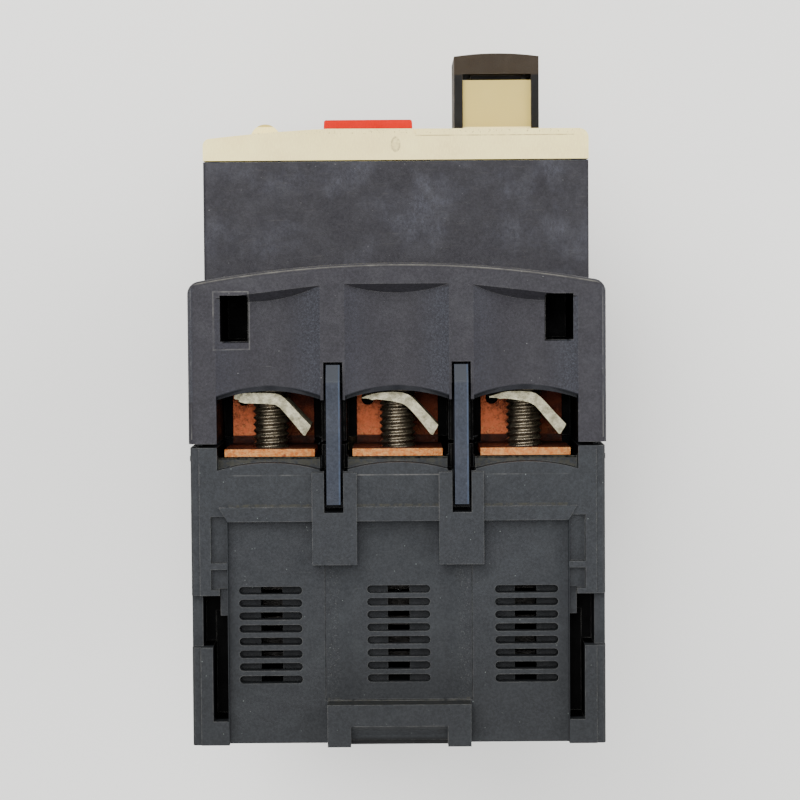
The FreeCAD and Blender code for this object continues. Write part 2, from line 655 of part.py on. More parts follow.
def front_cover():
    shell = cover_outline().extrude(FreeCAD.Vector(0, 0, 2 * NOSE_HALF_H))
    shell = shell.cut(block(-20.8, 20.8, COVER_LOW - 1, 65.2, -20.8, 20.8))
    skirt = block(-20.4, 20.4, 61.5, 65.3, -20.4, 20.4).cut(block(-19.4, 19.4, 61, 66, -19.4, 19.4))
    rim = block(-21.5, 21.5, COVER_LOW, 65.3, -21.5, 21.5).cut(block(-20.0, 20.0, 61, 66, -20.0, 20.0))
    lug = pillar(LUG_X, 66.55, 1.75, 11.0, 17.0)
    lug = lug.common(block(LUG_X - 3, LUG_X + 3, 66.0, 70, 10, 18))
    dial_wall = post(DIAL_X, DIAL_Z, DIAL_R + 1.5, 63.0, 66.0)
    seal_hole = roller(67.5, 14.0, 0.5, LUG_X - 4, LUG_X + 4)
    cuts = [
        button_hole(START, BUTTON_GAP),
        button_hole(STOP, BUTTON_GAP),
        post(DIAL_X, DIAL_Z, DIAL_R + 0.25, 62, 70),
        block(TEST_X - 3.6, TEST_X + 3.6, 62, 70, TEST_Z - 1.8, TEST_Z + 1.8),
        upright_prism([(-2.6, 68), (-2.25, 66.7), (-1.9, 68)], -NOSE_HALF_H - 1, NOSE_HALF_H + 1),
        seal_hole,
    ]
    return fuse([shell, skirt, rim, lug, dial_wall]).cut(cuts)


def start_cap():
    """Outer cap of the start button: domed top plate, two side legs and a post to the core."""
    x0, x1, z0, z1 = START
    mid = (x0 + x1) / 2
    top = arched(mid, (x1 - x0) / 2, START_BAND, START_TOP - 0.35, START_TOP, z0, z1)
    legs = [block(x1 - 1.0, x1, 62, START_BAND + 0.1, z0, z1),
            block(x0, x0 + 0.9, 62, START_BAND + 0.1, z0, z1)]
    foot = block(x0 + 2, x1 - 2, START_CORE_TOP + 0.02, START_BAND + 0.1, z0 + 2, z1 - 2)
    return fuse([top, foot] + legs)


def start_core():
    x0, x1, z0, z1 = START
    return block(x0 + 0.93, x1 - 1.03, BUTTON_FOOT, START_CORE_TOP, z0 + 0.6, z1 - 0.6)


def stop_button():
    x0, x1, z0, z1 = STOP
    taper = 0.25
    head = upright_prism([(x0, 62), (x1, 62), (x1 - taper, STOP_TOP), (x0 + taper, STOP_TOP)], z0, z1)
    edges = [edge for edge in head.Edges if abs(edge.BoundBox.YMin - (SEAT_DEPTH - STOP_TOP)) < 1e-3
             and edge.BoundBox.YLength < 1e-3]
    head = head.makeFillet(0.3, edges)
    flange = block(x0 - 0.9, x1 + 0.9, 61.2, 62.6, z0 - 0.9, z1 + 0.9)
    return fuse([head, flange])


def stop_spring():
    x0, x1, z0, z1 = STOP
    return tube((x0 + x1) / 2, (z0 + z1) / 2, 3.2, 2.5, 54.05, 61.15)


def setting_dial():
    disc = post(DIAL_X, DIAL_Z, DIAL_R, 63.9, DIAL_TOP)
    shaft = post(DIAL_X, DIAL_Z, 2.0, 61.0, 64.0)
    cam = post(DIAL_X + 0.8, DIAL_Z, 3.0, 59.6, 61.1)
    slot = centred(DIAL_X, 3.6, DIAL_TOP - 1.2, DIAL_TOP + 1, DIAL_Z - 0.5, DIAL_Z + 0.5)
    return fuse([disc, shaft, cam]).cut(slot)


def test_slider():
    """Test trip: a small slider with a driver slot; it moves to the right to trip."""
    knob = block(TEST_X - 3.3, TEST_X + 0.3, 63.0, 66.6, TEST_Z - 1.5, TEST_Z + 1.5)
    foot = block(TEST_X - 4.3, TEST_X + 1.3, 62.6, 64.9, TEST_Z - 2.6, TEST_Z + 2.6)
    slot = block(TEST_X - 1.9, TEST_X - 1.1, 65.6, 68, TEST_Z - 1.1, TEST_Z + 1.1)
    return fuse([knob, foot]).cut(slot)


# ------------------------------------------------------------------ all pieces

def all_pieces():
    pieces = {
        "rear_base": rear_base(),
        "front_housing": front_housing(),
        "shroud_line": terminal_shroud(),
        "shroud_load": flipped(terminal_shroud()),
        "front_cover": front_cover(),
        "housing_screws": housing_screws(),
        "rail_clip": rail_clip(),
        "clip_spring": clip_spring(),
        "start_cap": start_cap(),
        "start_core": start_core(),
        "stop_button": stop_button(),
        "stop_spring": stop_spring(),
        "setting_dial": setting_dial(),
        "test_slider": test_slider(),
        "mechanism_frame": mechanism_frame(),
        "toggle_lever": toggle_lever(),
        "trip_bar": trip_bar(),
        "contact_carrier": contact_carrier(),
        "contact_springs": contact_springs(),
        "arc_plates_line": group(arc_plates()),
        "arc_plates_load": group([flipped(plate) for plate in arc_plates()]),
    }
    for name, sign in ENDS.items():
        for number, side in enumerate((1, -1), start=1):
            barrier = phase_barrier(side)
            pieces[f"barrier_{name}_{number}"] = barrier if sign > 0 else flipped(barrier)
    for number, pole in enumerate(POLES, start=1):
        pieces[f"bar_line_{number}"] = line_bar(pole)
        pieces[f"bar_load_{number}"] = load_bar(pole)
        pieces[f"bridge_{number}"] = contact_bridge(pole)
        pieces[f"coil_{number}"] = trip_coil(pole)
        pieces[f"yoke_{number}"] = trip_yoke(pole)
        pieces[f"plunger_{number}"] = trip_plunger(pole)
        pieces[f"bimetal_{number}"] = bimetal(pole)
        for name, sign in ENDS.items():
            clamp, screw = clamp_plate(pole), terminal_screw(pole)
            if sign < 0:
                clamp, screw = flipped(clamp), flipped(screw)
            pieces[f"clamp_{name}_{number}"] = clamp
            pieces[f"screw_{name}_{number}"] = screw
    return pieces


os.makedirs("parts", exist_ok=True)
for node, shape in all_pieces().items():
    if not shape.isValid():
        raise ValueError(f"{node} is not a valid shape")
    shape.exportStep(os.path.join("parts", node + ".step"))
    print(f"{node}: {len(shape.Solids)} solid(s), {shape.Volume:.1f} mm3")
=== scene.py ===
import json
import math

import bmesh
import bpy
from mathutils import Matrix, Vector
from mathutils.bvhtree import BVHTree


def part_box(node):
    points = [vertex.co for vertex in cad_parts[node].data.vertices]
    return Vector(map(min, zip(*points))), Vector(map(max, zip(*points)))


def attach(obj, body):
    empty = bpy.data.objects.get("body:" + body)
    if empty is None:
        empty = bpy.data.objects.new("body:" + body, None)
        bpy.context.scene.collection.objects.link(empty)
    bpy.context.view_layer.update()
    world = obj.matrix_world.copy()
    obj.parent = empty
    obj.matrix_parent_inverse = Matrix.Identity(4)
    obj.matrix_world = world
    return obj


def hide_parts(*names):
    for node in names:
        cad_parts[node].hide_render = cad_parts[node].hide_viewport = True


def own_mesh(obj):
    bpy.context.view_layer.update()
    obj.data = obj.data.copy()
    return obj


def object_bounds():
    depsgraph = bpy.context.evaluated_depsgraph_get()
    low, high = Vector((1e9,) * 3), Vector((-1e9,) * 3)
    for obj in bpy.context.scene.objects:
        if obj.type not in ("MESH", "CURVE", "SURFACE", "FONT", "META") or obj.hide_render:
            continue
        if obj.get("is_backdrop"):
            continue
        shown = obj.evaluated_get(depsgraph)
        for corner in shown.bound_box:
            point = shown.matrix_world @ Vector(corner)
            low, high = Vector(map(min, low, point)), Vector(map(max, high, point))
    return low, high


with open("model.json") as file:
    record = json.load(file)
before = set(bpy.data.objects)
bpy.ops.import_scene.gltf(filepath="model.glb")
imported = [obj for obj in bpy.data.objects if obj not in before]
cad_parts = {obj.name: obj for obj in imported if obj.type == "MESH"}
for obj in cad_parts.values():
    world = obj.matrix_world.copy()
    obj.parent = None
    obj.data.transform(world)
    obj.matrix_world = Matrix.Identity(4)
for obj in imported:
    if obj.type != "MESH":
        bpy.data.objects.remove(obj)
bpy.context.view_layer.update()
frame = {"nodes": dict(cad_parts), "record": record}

NODES = frame["nodes"]
MM = 0.001
ENDS = {"line": 1, "load": -1}


def corners(node):
    low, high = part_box(node)
    return Vector(low), Vector(high)


def middle(node):
    low, high = corners(node)
    return (low + high) / 2


# ------------------------------------------------------------------ node graphs

class Graph:
    """A material's node tree, built up by short calls."""

    def __init__(self, name, **shader):
        self.material = bpy.data.materials.new(name)
        self.material.use_nodes = True
        self.tree = self.material.node_tree
        self.shader = self.tree.nodes["Principled BSDF"]
        for socket, value in shader.items():
            self.shader.inputs[socket.replace("_", " ")].default_value = value
        coords = self.add("ShaderNodeTexCoord")
        self.place = self.add("ShaderNodeVectorMath", operation="SCALE")
        self.place.inputs["Scale"].default_value = 1 / MM
        self.link(coords.outputs["Object"], self.place.inputs[0])
        self.mm = self.place.outputs[0]

    def add(self, kind, **settings):
        node = self.tree.nodes.new(kind)
        for name, value in settings.items():
            setattr(node, name, value)
        return node

    def link(self, source, target):
        self.tree.links.new(source, target)

    def feed(self, target, value):
        """Connects a socket, or sets a plain value."""
        if isinstance(value, bpy.types.NodeSocket):
            self.link(value, target)
        elif hasattr(target.default_value, "__len__") and not hasattr(value, "__len__"):
            target.default_value = [value] * len(target.default_value)
        else:
            target.default_value = value

    def stretched(self, x, y, z):
        """Millimetre coordinates scaled along each axis."""
        node = self.add("ShaderNodeVectorMath", operation="MULTIPLY")
        self.link(self.mm, node.inputs[0])
        node.inputs[1].default_value = (x, y, z)
        return node.outputs[0]

    def noise(self, scale, detail=3.0, rough=0.55, where=None, warp=0.0):
        node = self.add("ShaderNodeTexNoise")
        self.link(where or self.mm, node.inputs["Vector"])
        node.inputs["Scale"].default_value = scale
        node.inputs["Detail"].default_value = detail
        node.inputs["Roughness"].default_value = rough
        node.inputs["Distortion"].default_value = warp
        return node.outputs["Fac"]

    def cells(self, scale, where=None, feature="F1"):
        node = self.add("ShaderNodeTexVoronoi", feature=feature)
        self.link(where or self.mm, node.inputs["Vector"])
        node.inputs["Scale"].default_value = scale
        return node.outputs["Distance"]

    def ramp(self, value, low, high, start=0.0, end=1.0):
        node = self.add("ShaderNodeMapRange", interpolation_type="SMOOTHSTEP")
        self.feed(node.inputs["Value"], value)
        node.inputs["From Min"].default_value = low
        node.inputs["From Max"].default_value = high
        node.inputs["To Min"].default_value = start
        node.inputs["To Max"].default_value = end
        return node.outputs["Result"]

    def math(self, operation, first, second=0.5):
        node = self.add("ShaderNodeMath", operation=operation)
        self.feed(node.inputs[0], first)
        self.feed(node.inputs[1], second)
        return node.outputs[0]

    def mix(self, factor, first, second, blend="MIX"):
        node = self.add("ShaderNodeMix", data_type="RGBA", blend_type=blend)
        self.feed(node.inputs[0], factor)
        self.feed(node.inputs[6], first)
        self.feed(node.inputs[7], second)
        return node.outputs[2]

    def axis(self, name):
        split = self.add("ShaderNodeSeparateXYZ")
        self.link(self.mm, split.inputs[0])
        return split.outputs[name]

    def away(self, name):
        """Distance from the frame's middle along one axis."""
        return self.math("ABSOLUTE", self.axis(name))

    def gap(self, value, centre):
        """Distance between a value and a centre."""
        return self.math("ABSOLUTE", self.math("SUBTRACT", value, centre))

    def within(self, name, low, high, soft=0.04):
        """One where a millimetre coordinate lies between two values."""
        value = self.axis(name)
        above = self.ramp(value, low - soft, low + soft)
        below = self.ramp(value, high + soft, high - soft)
        return self.every(above, below)

    def every(self, *masks):
        """Product of several masks."""
        result = masks[0]
        for mask in masks[1:]:
            result = self.math("MULTIPLY", result, mask)
        return result

    def some(self, *masks):
        """Largest of several masks."""
        result = masks[0]
        for mask in masks[1:]:
            result = self.math("MAXIMUM", result, mask)
        return result

    def facing(self, name):
        """How far the surface faces along an axis of the frame."""
        geometry = self.add("ShaderNodeNewGeometry")
        split = self.add("ShaderNodeSeparateXYZ")
        self.link(geometry.outputs["True Normal"], split.inputs[0])
        return split.outputs[name]

    def edges(self, radius, low=0.02, high=0.25):
        """One on convex and concave edges, from a rounded normal against the true one."""
        bevel = self.add("ShaderNodeBevel", samples=4)
        bevel.inputs["Radius"].default_value = radius * MM
        geometry = self.add("ShaderNodeNewGeometry")
        dot = self.add("ShaderNodeVectorMath", operation="DOT_PRODUCT")
        self.link(bevel.outputs[0], dot.inputs[0])
        self.link(geometry.outputs["Normal"], dot.inputs[1])
        return self.ramp(self.math("SUBTRACT", 1.0, dot.outputs["Value"]), low, high)

    def shade(self, height, distance, strength=1.0):
        """Bump from a height, on top of whatever bump is already there."""
        node = self.add("ShaderNodeBump")
        node.inputs["Strength"].default_value = strength
        node.inputs["Distance"].default_value = distance * MM
        self.link(height, node.inputs["Height"])
        earlier = self.shader.inputs["Normal"]
        if earlier.is_linked:
            self.link(earlier.links[0].from_socket, node.inputs["Normal"])
        self.link(node.outputs[0], earlier)

    def paint(self, colour=None, rough=None, metal=None):
        for socket, value in (("Base Color", colour), ("Roughness", rough), ("Metallic", metal)):
            if value is not None:
                self.feed(self.shader.inputs[socket], value)
        return self.material


# ------------------------------------------------------------------ materials

POLE_PITCH = 13.8
BARRIER_X = 6.86                # middle of a phase barrier, from the middle pole
PARTING = -25.3                 # depth of the line between the base and the upper mouldings
DUST = (0.26, 0.26, 0.25, 1)
BLUISH_HAZE = (0.075, 0.078, 0.088, 1)


def shades(colour, factor):
    """A colour made lighter or darker, kept within range."""
    return [min(1.0, c * factor) for c in colour[:3]] + [1]


def speckled(g, under, colour, amount):
    """Pale grain of the size of the spark erosion, on a slightly lowered base colour."""
    lowered = g.mix(1.0, under, [1 - 0.32 * amount] * 3 + [1], "MULTIPLY")
    grain = g.ramp(g.noise(3.4, 4, 0.85), 0.38, 0.64, 0.0, amount)
    return g.mix(grain, lowered, shades(colour, 1.7))


def moulded(name, colour, worn, grain=0.02, rough=0.55, dust=0.5, scuffs=0.35, haze=0.35, wear=0.8,
            specular=0.15, haze_colour=BLUISH_HAZE, marks=None, spared=None, speckle=0.0):
    """Moulded technical plastic: spark-eroded grain, flow mottling, dust specks, scuffs and worn edges."""
    g = Graph(name, Specular_IOR_Level=specular)
    light = shades(colour, 1.22)
    mottled = g.mix(g.noise(0.22, 4, 0.6), shades(colour, 0.82), light)
    weave = g.noise(1.0, 2, 0.6, g.stretched(7.0, 1.6, 1.6))
    fine = g.mix(g.ramp(weave, 0.42, 0.7, 0.0, 0.45), mottled, light)
    if speckle:
        fine = speckled(g, fine, colour, speckle)
    cloud = g.ramp(g.noise(0.16, 5, 0.62, g.stretched(0.8, 1, 0.8), 0.8), 0.5, 0.74)
    cloud_grain = g.ramp(g.noise(3.0, 3, 0.8), 0.3, 0.7, 0.35, 1.0)
    hazy = g.mix(g.every(cloud, cloud_grain, haze), fine, haze_colour)
    strokes = g.ramp(g.noise(1.0, 3, 0.8, g.stretched(0.35, 6.0, 6.0), 1.2), 0.68, 0.75)
    scratched = g.mix(g.every(strokes, g.ramp(g.noise(0.3, 2), 0.45, 0.6), scuffs), hazy, worn)
    specks = g.every(g.ramp(g.cells(1.35), 0.09, 0.05), g.ramp(g.noise(0.7, 1), 0.52, 0.68), dust)
    dusted = g.mix(specks, scratched, DUST)
    if marks:
        dusted = marks(g, dusted)
    patchy = g.ramp(g.noise(0.9, 4, 0.75), 0.34, 0.66, 0.12, 1.0)
    rubbed = g.every(g.edges(0.16, 0.03, 0.3), patchy, wear)
    if spared:
        rubbed = g.every(rubbed, g.math("SUBTRACT", 1.0, spared(g)))
    g.shade(g.noise(9.0, 3, 0.6), grain)
    g.shade(g.noise(0.35, 2), 0.05, 0.6)
    uneven = g.ramp(g.noise(0.6, 4), 0.25, 0.75, rough - 0.07, rough + 0.1)
    return g.paint(g.mix(rubbed, dusted, worn), g.math("SUBTRACT", uneven, g.every(cloud, 0.06)))


def housing_marks(g, colour):
    """Everything that the eye finds on the charcoal mouldings, region by region, painted shade and painted
    light included.
    """
    colour = base_tint(g, colour)
    colour = nose_smudges(g, colour)
    colour = dark_recesses(g, colour)
    colour = dusty_corners(g, colour)
    colour = worn_lines(g, colour)
    colour = scallop_marks(g, colour)
    colour = valley_grit(g, colour)
    return worn_rim(g, colour)


def base_tint(g, colour):
    """Bluer base, a little darker towards the rear edge."""
    base = g.ramp(g.axis("Y"), PARTING - 0.1, PARTING + 0.1)
    bluer = g.mix(base, colour, (0.83, 0.96, 0.91, 1), "MULTIPLY")
    return g.mix(g.ramp(g.axis("Y"), -14, 3), bluer, (0.80, 0.79, 0.77, 1), "MULTIPLY")


def nose_smudges(g, colour):
    """Powdery haze and rubbed strokes on the end faces of the nose."""
    away = g.away("Z")
    end = g.every(g.within("Y", -56.7, -36, 0.1), g.ramp(away, 22.7, 22.6), g.ramp(away, 22.4, 22.45))
    blotch = g.ramp(g.noise(0.17, 3, 0.6, None, 0.3), 0.45, 0.75)
    upper = g.ramp(g.axis("Y"), -40, -50, 0.35, 1.0)
    powder = g.ramp(g.noise(2.6, 5, 0.85, g.stretched(1.4, 0.8, 1)), 0.3, 0.75)
    one_sided = g.ramp(g.axis("X"), 2, -14, 0.62, 0.95)
    hazy = g.mix(g.every(end, blotch, upper, powder, one_sided), colour, (0.066, 0.068, 0.085, 1))
    stroke = g.ramp(g.noise(1.0, 4, 0.8, g.stretched(0.5, 5.0, 1), 0.8), 0.56, 0.7)
    return g.mix(g.every(end, stroke, 0.22), hazy, (0.07, 0.065, 0.06, 1))


def dark_recesses(g, colour):
    """Painted shade: nearly black colour and a lower specular level beside the barriers, in the wire
    chambers, behind the windows and in the side slots.
    """
    away, sideways = g.away("Z"), g.away("X")
    inside = g.ramp(sideways, 19.5, 19.4)
    divider = g.every(g.ramp(g.gap(sideways, BARRIER_X), 1.42, 1.36),
                      g.within("Y", -31.3, -22.3), g.within("Z", -44.0, 44.0))
    chamber = g.every(g.ramp(away, 42.7, 42.5), g.ramp(away, 31.8, 32.0), g.within("Y", -31.7, -23.7), inside)
    sideward = g.math("ABSOLUTE", g.facing("X"))
    cheek = g.every(g.ramp(sideward, 0.8, 0.9), g.within("Y", -30.9, -24.2), inside)
    window = g.every(g.ramp(sideways, 15.85, 15.95), g.ramp(sideways, 19.1, 19.0),
                     g.within("Y", -41.5, -36.3), g.ramp(away, 44.1, 43.9), g.ramp(away, 22.8, 23))
    slot = g.every(g.ramp(sideways, 18.3, 18.35), g.ramp(sideways, 21.15, 21.05),
                   g.within("Y", -9.3, 4.5), g.ramp(away, 43.1, 42.4), g.ramp(away, 38, 38.5))
    # painted shade: these recesses are coloured nearly black, with less specular reflection
    recess_shade = g.some(divider, chamber, cheek, window, slot)
    g.feed(g.shader.inputs["Specular IOR Level"], g.ramp(recess_shade, 0.0, 1.0, 0.15, 0.03))
    return g.mix(g.every(recess_shade, 0.98), colour, (0.0008, 0.0008, 0.0008, 1))


def outside_holders(g):
    """Mask that leaves out the barrier holders."""
    return g.ramp(g.gap(g.away("X"), BARRIER_X), 2.4, 2.5)


def dusty_corners(g, colour):
    """Dust on the ledge, over the rear tab and on the sills; painted shade, nearly black, in the scoop of the
    rear edge.
    """
    away = g.away("Z")
    end_face = g.ramp(away, 42.85, 42.95)
    ledge = g.every(end_face, g.within("Y", -19.0, -18.72), g.within("X", -18.2, 18.2), outside_holders(g))
    tab = g.every(end_face, g.within("Y", 2.15, 2.45), g.within("X", -7.7, 7.7))
    sill = g.every(g.ramp(away, 42.75, 42.65), g.ramp(away, 42.2, 42.3), g.within("Y", -24.2, -22.5))
    dirt = g.ramp(g.noise(1.6, 4, 0.75), 0.38, 0.62)
    dusty = g.mix(g.every(g.some(ledge, tab, sill), dirt, 0.9), colour, (0.031, 0.030, 0.022, 1))
    # painted shade: the scoop in the rear edge is darkened nearly to black
    scoop_shade = g.every(g.ramp(g.away("X"), 5.25, 5.15), g.within("Y", 6.25, 7.2, 0.25),
                    g.within("Z", 44.0, 46.0))
    return g.mix(g.every(scoop_shade, 0.9), dusty, (0.002, 0.002, 0.002, 1))


def worn_lines(g, colour):
    """Chipped pale lines on the base's lip, down the flanks of the shrouds and round one window."""
    away, sideways = g.away("Z"), g.away("X")
    chipped = g.every(g.ramp(g.noise(0.28, 2), 0.36, 0.62, 0.1, 1.0),
                      g.ramp(g.noise(2.5, 3, 0.7), 0.3, 0.6, 0.45, 1.0))
    lip = g.every(g.ramp(away, 44.3, 44.4), g.within("Y", -22.17, -22.05), g.ramp(sideways, 18.6, 18.0),
                  outside_holders(g))
    flank = g.every(g.ramp(away, 44.0, 44.3), g.within("Y", -42, -26),
                    g.ramp(sideways, 21.95, 21.99), g.ramp(sideways, 22.11, 22.07))
    window_x, window_y, half_wide, half_tall = 17.72, -38.7, 1.88, 3.1
    outside = g.some(g.math("SUBTRACT", g.gap(g.axis("X"), window_x), half_wide),
                     g.math("SUBTRACT", g.gap(g.axis("Y"), window_y), half_tall))
    collar = g.every(g.ramp(g.math("ABSOLUTE", outside), 0.09, 0.05), g.ramp(g.axis("Z"), 42.6, 42.7))
    return g.mix(g.every(g.some(lip, flank, collar), chipped, 0.75), colour, (0.088, 0.086, 0.080, 1))


def scallop_marks(g, colour):
    """Painted light: bluish highlights up the sides of the scallops, brightest on the sides facing +X, and a
    painted shadow along the lip over each arched wire mouth.
    """
    away, sideways = g.away("Z"), g.away("X")
    endward = g.ramp(g.math("ABSOLUTE", g.facing("Z")), 0.5, 0.6)
    shroud_end = g.every(g.ramp(away, 42.4, 42.5), g.within("Y", -42.2, -30.0, 0.1), endward)
    # painted light: the scallop flanks are lightened by the way they face, most on the flanks facing +X
    painted_light_grain = g.ramp(g.noise(5.0, 4, 0.85), 0.44, 0.66, 0.15, 1.0)
    lit = g.every(shroud_end, g.ramp(g.facing("X"), 0.18, 0.55), painted_light_grain, 0.6)
    cool = g.every(shroud_end, g.ramp(g.facing("X"), -0.2, -0.55), painted_light_grain, 0.45)
    side_lit = g.mix(lit, colour, (0.060, 0.065, 0.078, 1))
    side_lit = g.mix(cool, side_lit, (0.040, 0.042, 0.054, 1))
    arch_top, arch_curve = 31.1, 0.0308
    from_pole = g.math("MINIMUM", sideways, g.gap(sideways, POLE_PITCH))
    arch = g.math("SUBTRACT", arch_top, g.every(from_pole, from_pole, arch_curve))
    above = g.math("SUBTRACT", g.every(g.axis("Y"), -1.0), arch)
    # painted shadow: a dark band under the lip of each arched wire mouth
    lip = g.every(g.ramp(above, 0.56, 0.48), g.ramp(above, -0.4, -0.3), g.ramp(away, 42.2, 42.3),
                  g.ramp(from_pole, 5.62, 5.56))
    return g.mix(g.every(lip, 0.9), side_lit, (0.0040, 0.0046, 0.0066, 1))


def valley_grit(g, colour):
    """Pale grit in the valleys between the vent grilles."""
    sideways = g.away("X")
    valley = g.every(g.ramp(g.away("Z"), 42.85, 42.95), g.ramp(sideways, 5.0, 5.6),
                     g.ramp(sideways, 8.0, 7.4), g.within("Y", -13, 2.2, 2.5))
    grains = g.ramp(g.noise(7.0, 2, 0.8), 0.60, 0.70)
    return g.mix(g.every(valley, grains, 0.55), colour, (0.10, 0.10, 0.095, 1))


def worn_rim(g, colour):
    """Light wear along the front rim of the shrouds."""
    frontward = g.ramp(g.facing("Y"), -0.5, -0.8)
    rim = g.every(g.ramp(g.away("Z"), 44.2, 44.25), g.within("Y", -46, -42.3), frontward,
                  g.ramp(g.noise(0.8, 4), 0.3, 0.7, 0.4, 1.0))
    return g.mix(rim, colour, (0.145, 0.138, 0.118, 1))


def unworn_edges(g):
    """Upright edges of the end panels and their valley, and the lips of the wire mouths: all unworn."""
    away, sideways = g.away("Z"), g.away("X")
    panel = g.every(g.ramp(sideways, 18.05, 18.15), g.ramp(sideways, 18.45, 18.4), g.ramp(away, 42, 42.5))
    mouth = g.every(g.within("Y", -31.9, -25.0), g.ramp(away, 42.2, 42.3), g.ramp(sideways, 19.6, 19.5))
    valley = g.every(g.ramp(sideways, 4.8, 4.9), g.ramp(sideways, 5.2, 5.1),
                     g.within("Y", -15, 5), g.ramp(away, 41, 41.5))
    return g.some(panel, mouth, valley)


def barrier_marks(g, colour):
    """Greyer upper end and a pale line down one edge of the phase barriers."""
    greyer = g.mix(g.every(g.ramp(g.axis("Y"), -31.9, -32.2), 0.8), colour, (0.034, 0.037, 0.042, 1))
    line = g.some(g.within("X", 6.16, 6.30, 0.03), g.within("X", -7.56, -7.42, 0.03))
    ends = g.ramp(g.math("ABSOLUTE", g.facing("Z")), 0.5, 0.8)
    broken = g.ramp(g.noise(0.9, 3), 0.3, 0.6, 0.3, 0.8)
    return g.mix(g.every(line, ends, broken), greyer, (0.032, 0.047, 0.078, 1))


def cream_marks(g, colour):
    """Darker, yellower button core, seam under the raised bezel, gate mark on the line end."""
    darker_core = g.mix(g.within("Y", -70, -61.0), colour, (0.47, 0.365, 0.105, 1))
    end = g.ramp(g.facing("Z"), 0.6, 0.8)
    broken = g.ramp(g.noise(0.8, 3, 0.7), 0.3, 0.55, 0.25, 0.9)
    seam = g.every(end, g.within("Y", -59.62, -59.52, 0.04), g.within("X", -20.6, -2.3, 0.1), broken)
    specks = g.every(end, g.within("Y", -60.3, -59.8), g.ramp(g.noise(4.5, 2), 0.6, 0.68), 0.6)
    stained = g.mix(g.some(seam, specks), darker_core, (0.30, 0.21, 0.10, 1))
    gate_y, gate_wide, gate_tall = -58.55, 0.55, 0.9
    across = g.math("DIVIDE", g.axis("X"), gate_wide)
    along = g.math("DIVIDE", g.math("SUBTRACT", g.axis("Y"), gate_y), gate_tall)
    reach = g.math("ADD", g.every(across, across), g.every(along, along))
    patchy = g.ramp(g.noise(3.5, 3, 0.7), 0.35, 0.65, 0.2, 0.9)
    gate = g.every(end, g.within("Z", 22.3, 22.7), g.ramp(reach, 1.15, 0.9), patchy)
    ring = g.ramp(reach, 0.25, 0.8, 0.45, 1.0)
    return g.mix(g.every(gate, ring, 0.9), stained, (0.27, 0.215, 0.12, 1))


def cap_marks(g, colour):
    """Neutral black everywhere but on the sun-browned start cap, with painted shade darkening the cap's legs.
    """
    behind_cap = g.ramp(g.axis("Y"), -60.5, -60.0)
    neutral = g.mix(behind_cap, colour, (0.62, 0.88, 1.5, 1), "MULTIPLY")
    # painted shade: the cap's legs on the end faces are darkened nearly to black
    leg_shade = g.every(g.within("Y", -67.1, -60.8, 0.15), g.ramp(g.facing("Z"), 0.6, 0.8), 0.94)
    shaded = g.mix(leg_shade, neutral, (0.002, 0.002, 0.002, 1))
    return print_on(middle("start_cap"), "bar", (0.80, 0.72, 0.56, 1))(g, shaded)


def print_on(centre, shape, colour):
    """Marks function that prints a bar or a ring on the front face of a button."""
    bar_half_wide, bar_half_tall, ring_inner, ring_outer, blur = 0.39, 2.29, 1.59, 2.27, 0.03

    def marks(g, under):
        sideways = g.math("SUBTRACT", g.axis("X"), centre.x / MM)
        upright = g.math("SUBTRACT", g.axis("Z"), centre.z / MM)
        if shape == "bar":
            wide = g.ramp(g.math("ABSOLUTE", sideways), bar_half_wide + blur, bar_half_wide - blur)
            tall = g.ramp(g.math("ABSOLUTE", upright), bar_half_tall + blur, bar_half_tall - blur)
            cover = g.every(wide, tall)
        else:
            distance = g.math("SQRT", g.math("ADD", g.every(sideways, sideways), g.every(upright, upright)))
            cover = g.every(g.ramp(distance, ring_outer + blur, ring_outer - blur),
                            g.ramp(distance, ring_inner - blur, ring_inner + blur))
        front = g.ramp(g.facing("Y"), -0.8, -0.9)
        faded = g.ramp(g.noise(3.0, 4, 0.75), 0.28, 0.4, 0.7, 1.0)
        return g.mix(g.every(cover, front, faded), under, colour)
    return marks


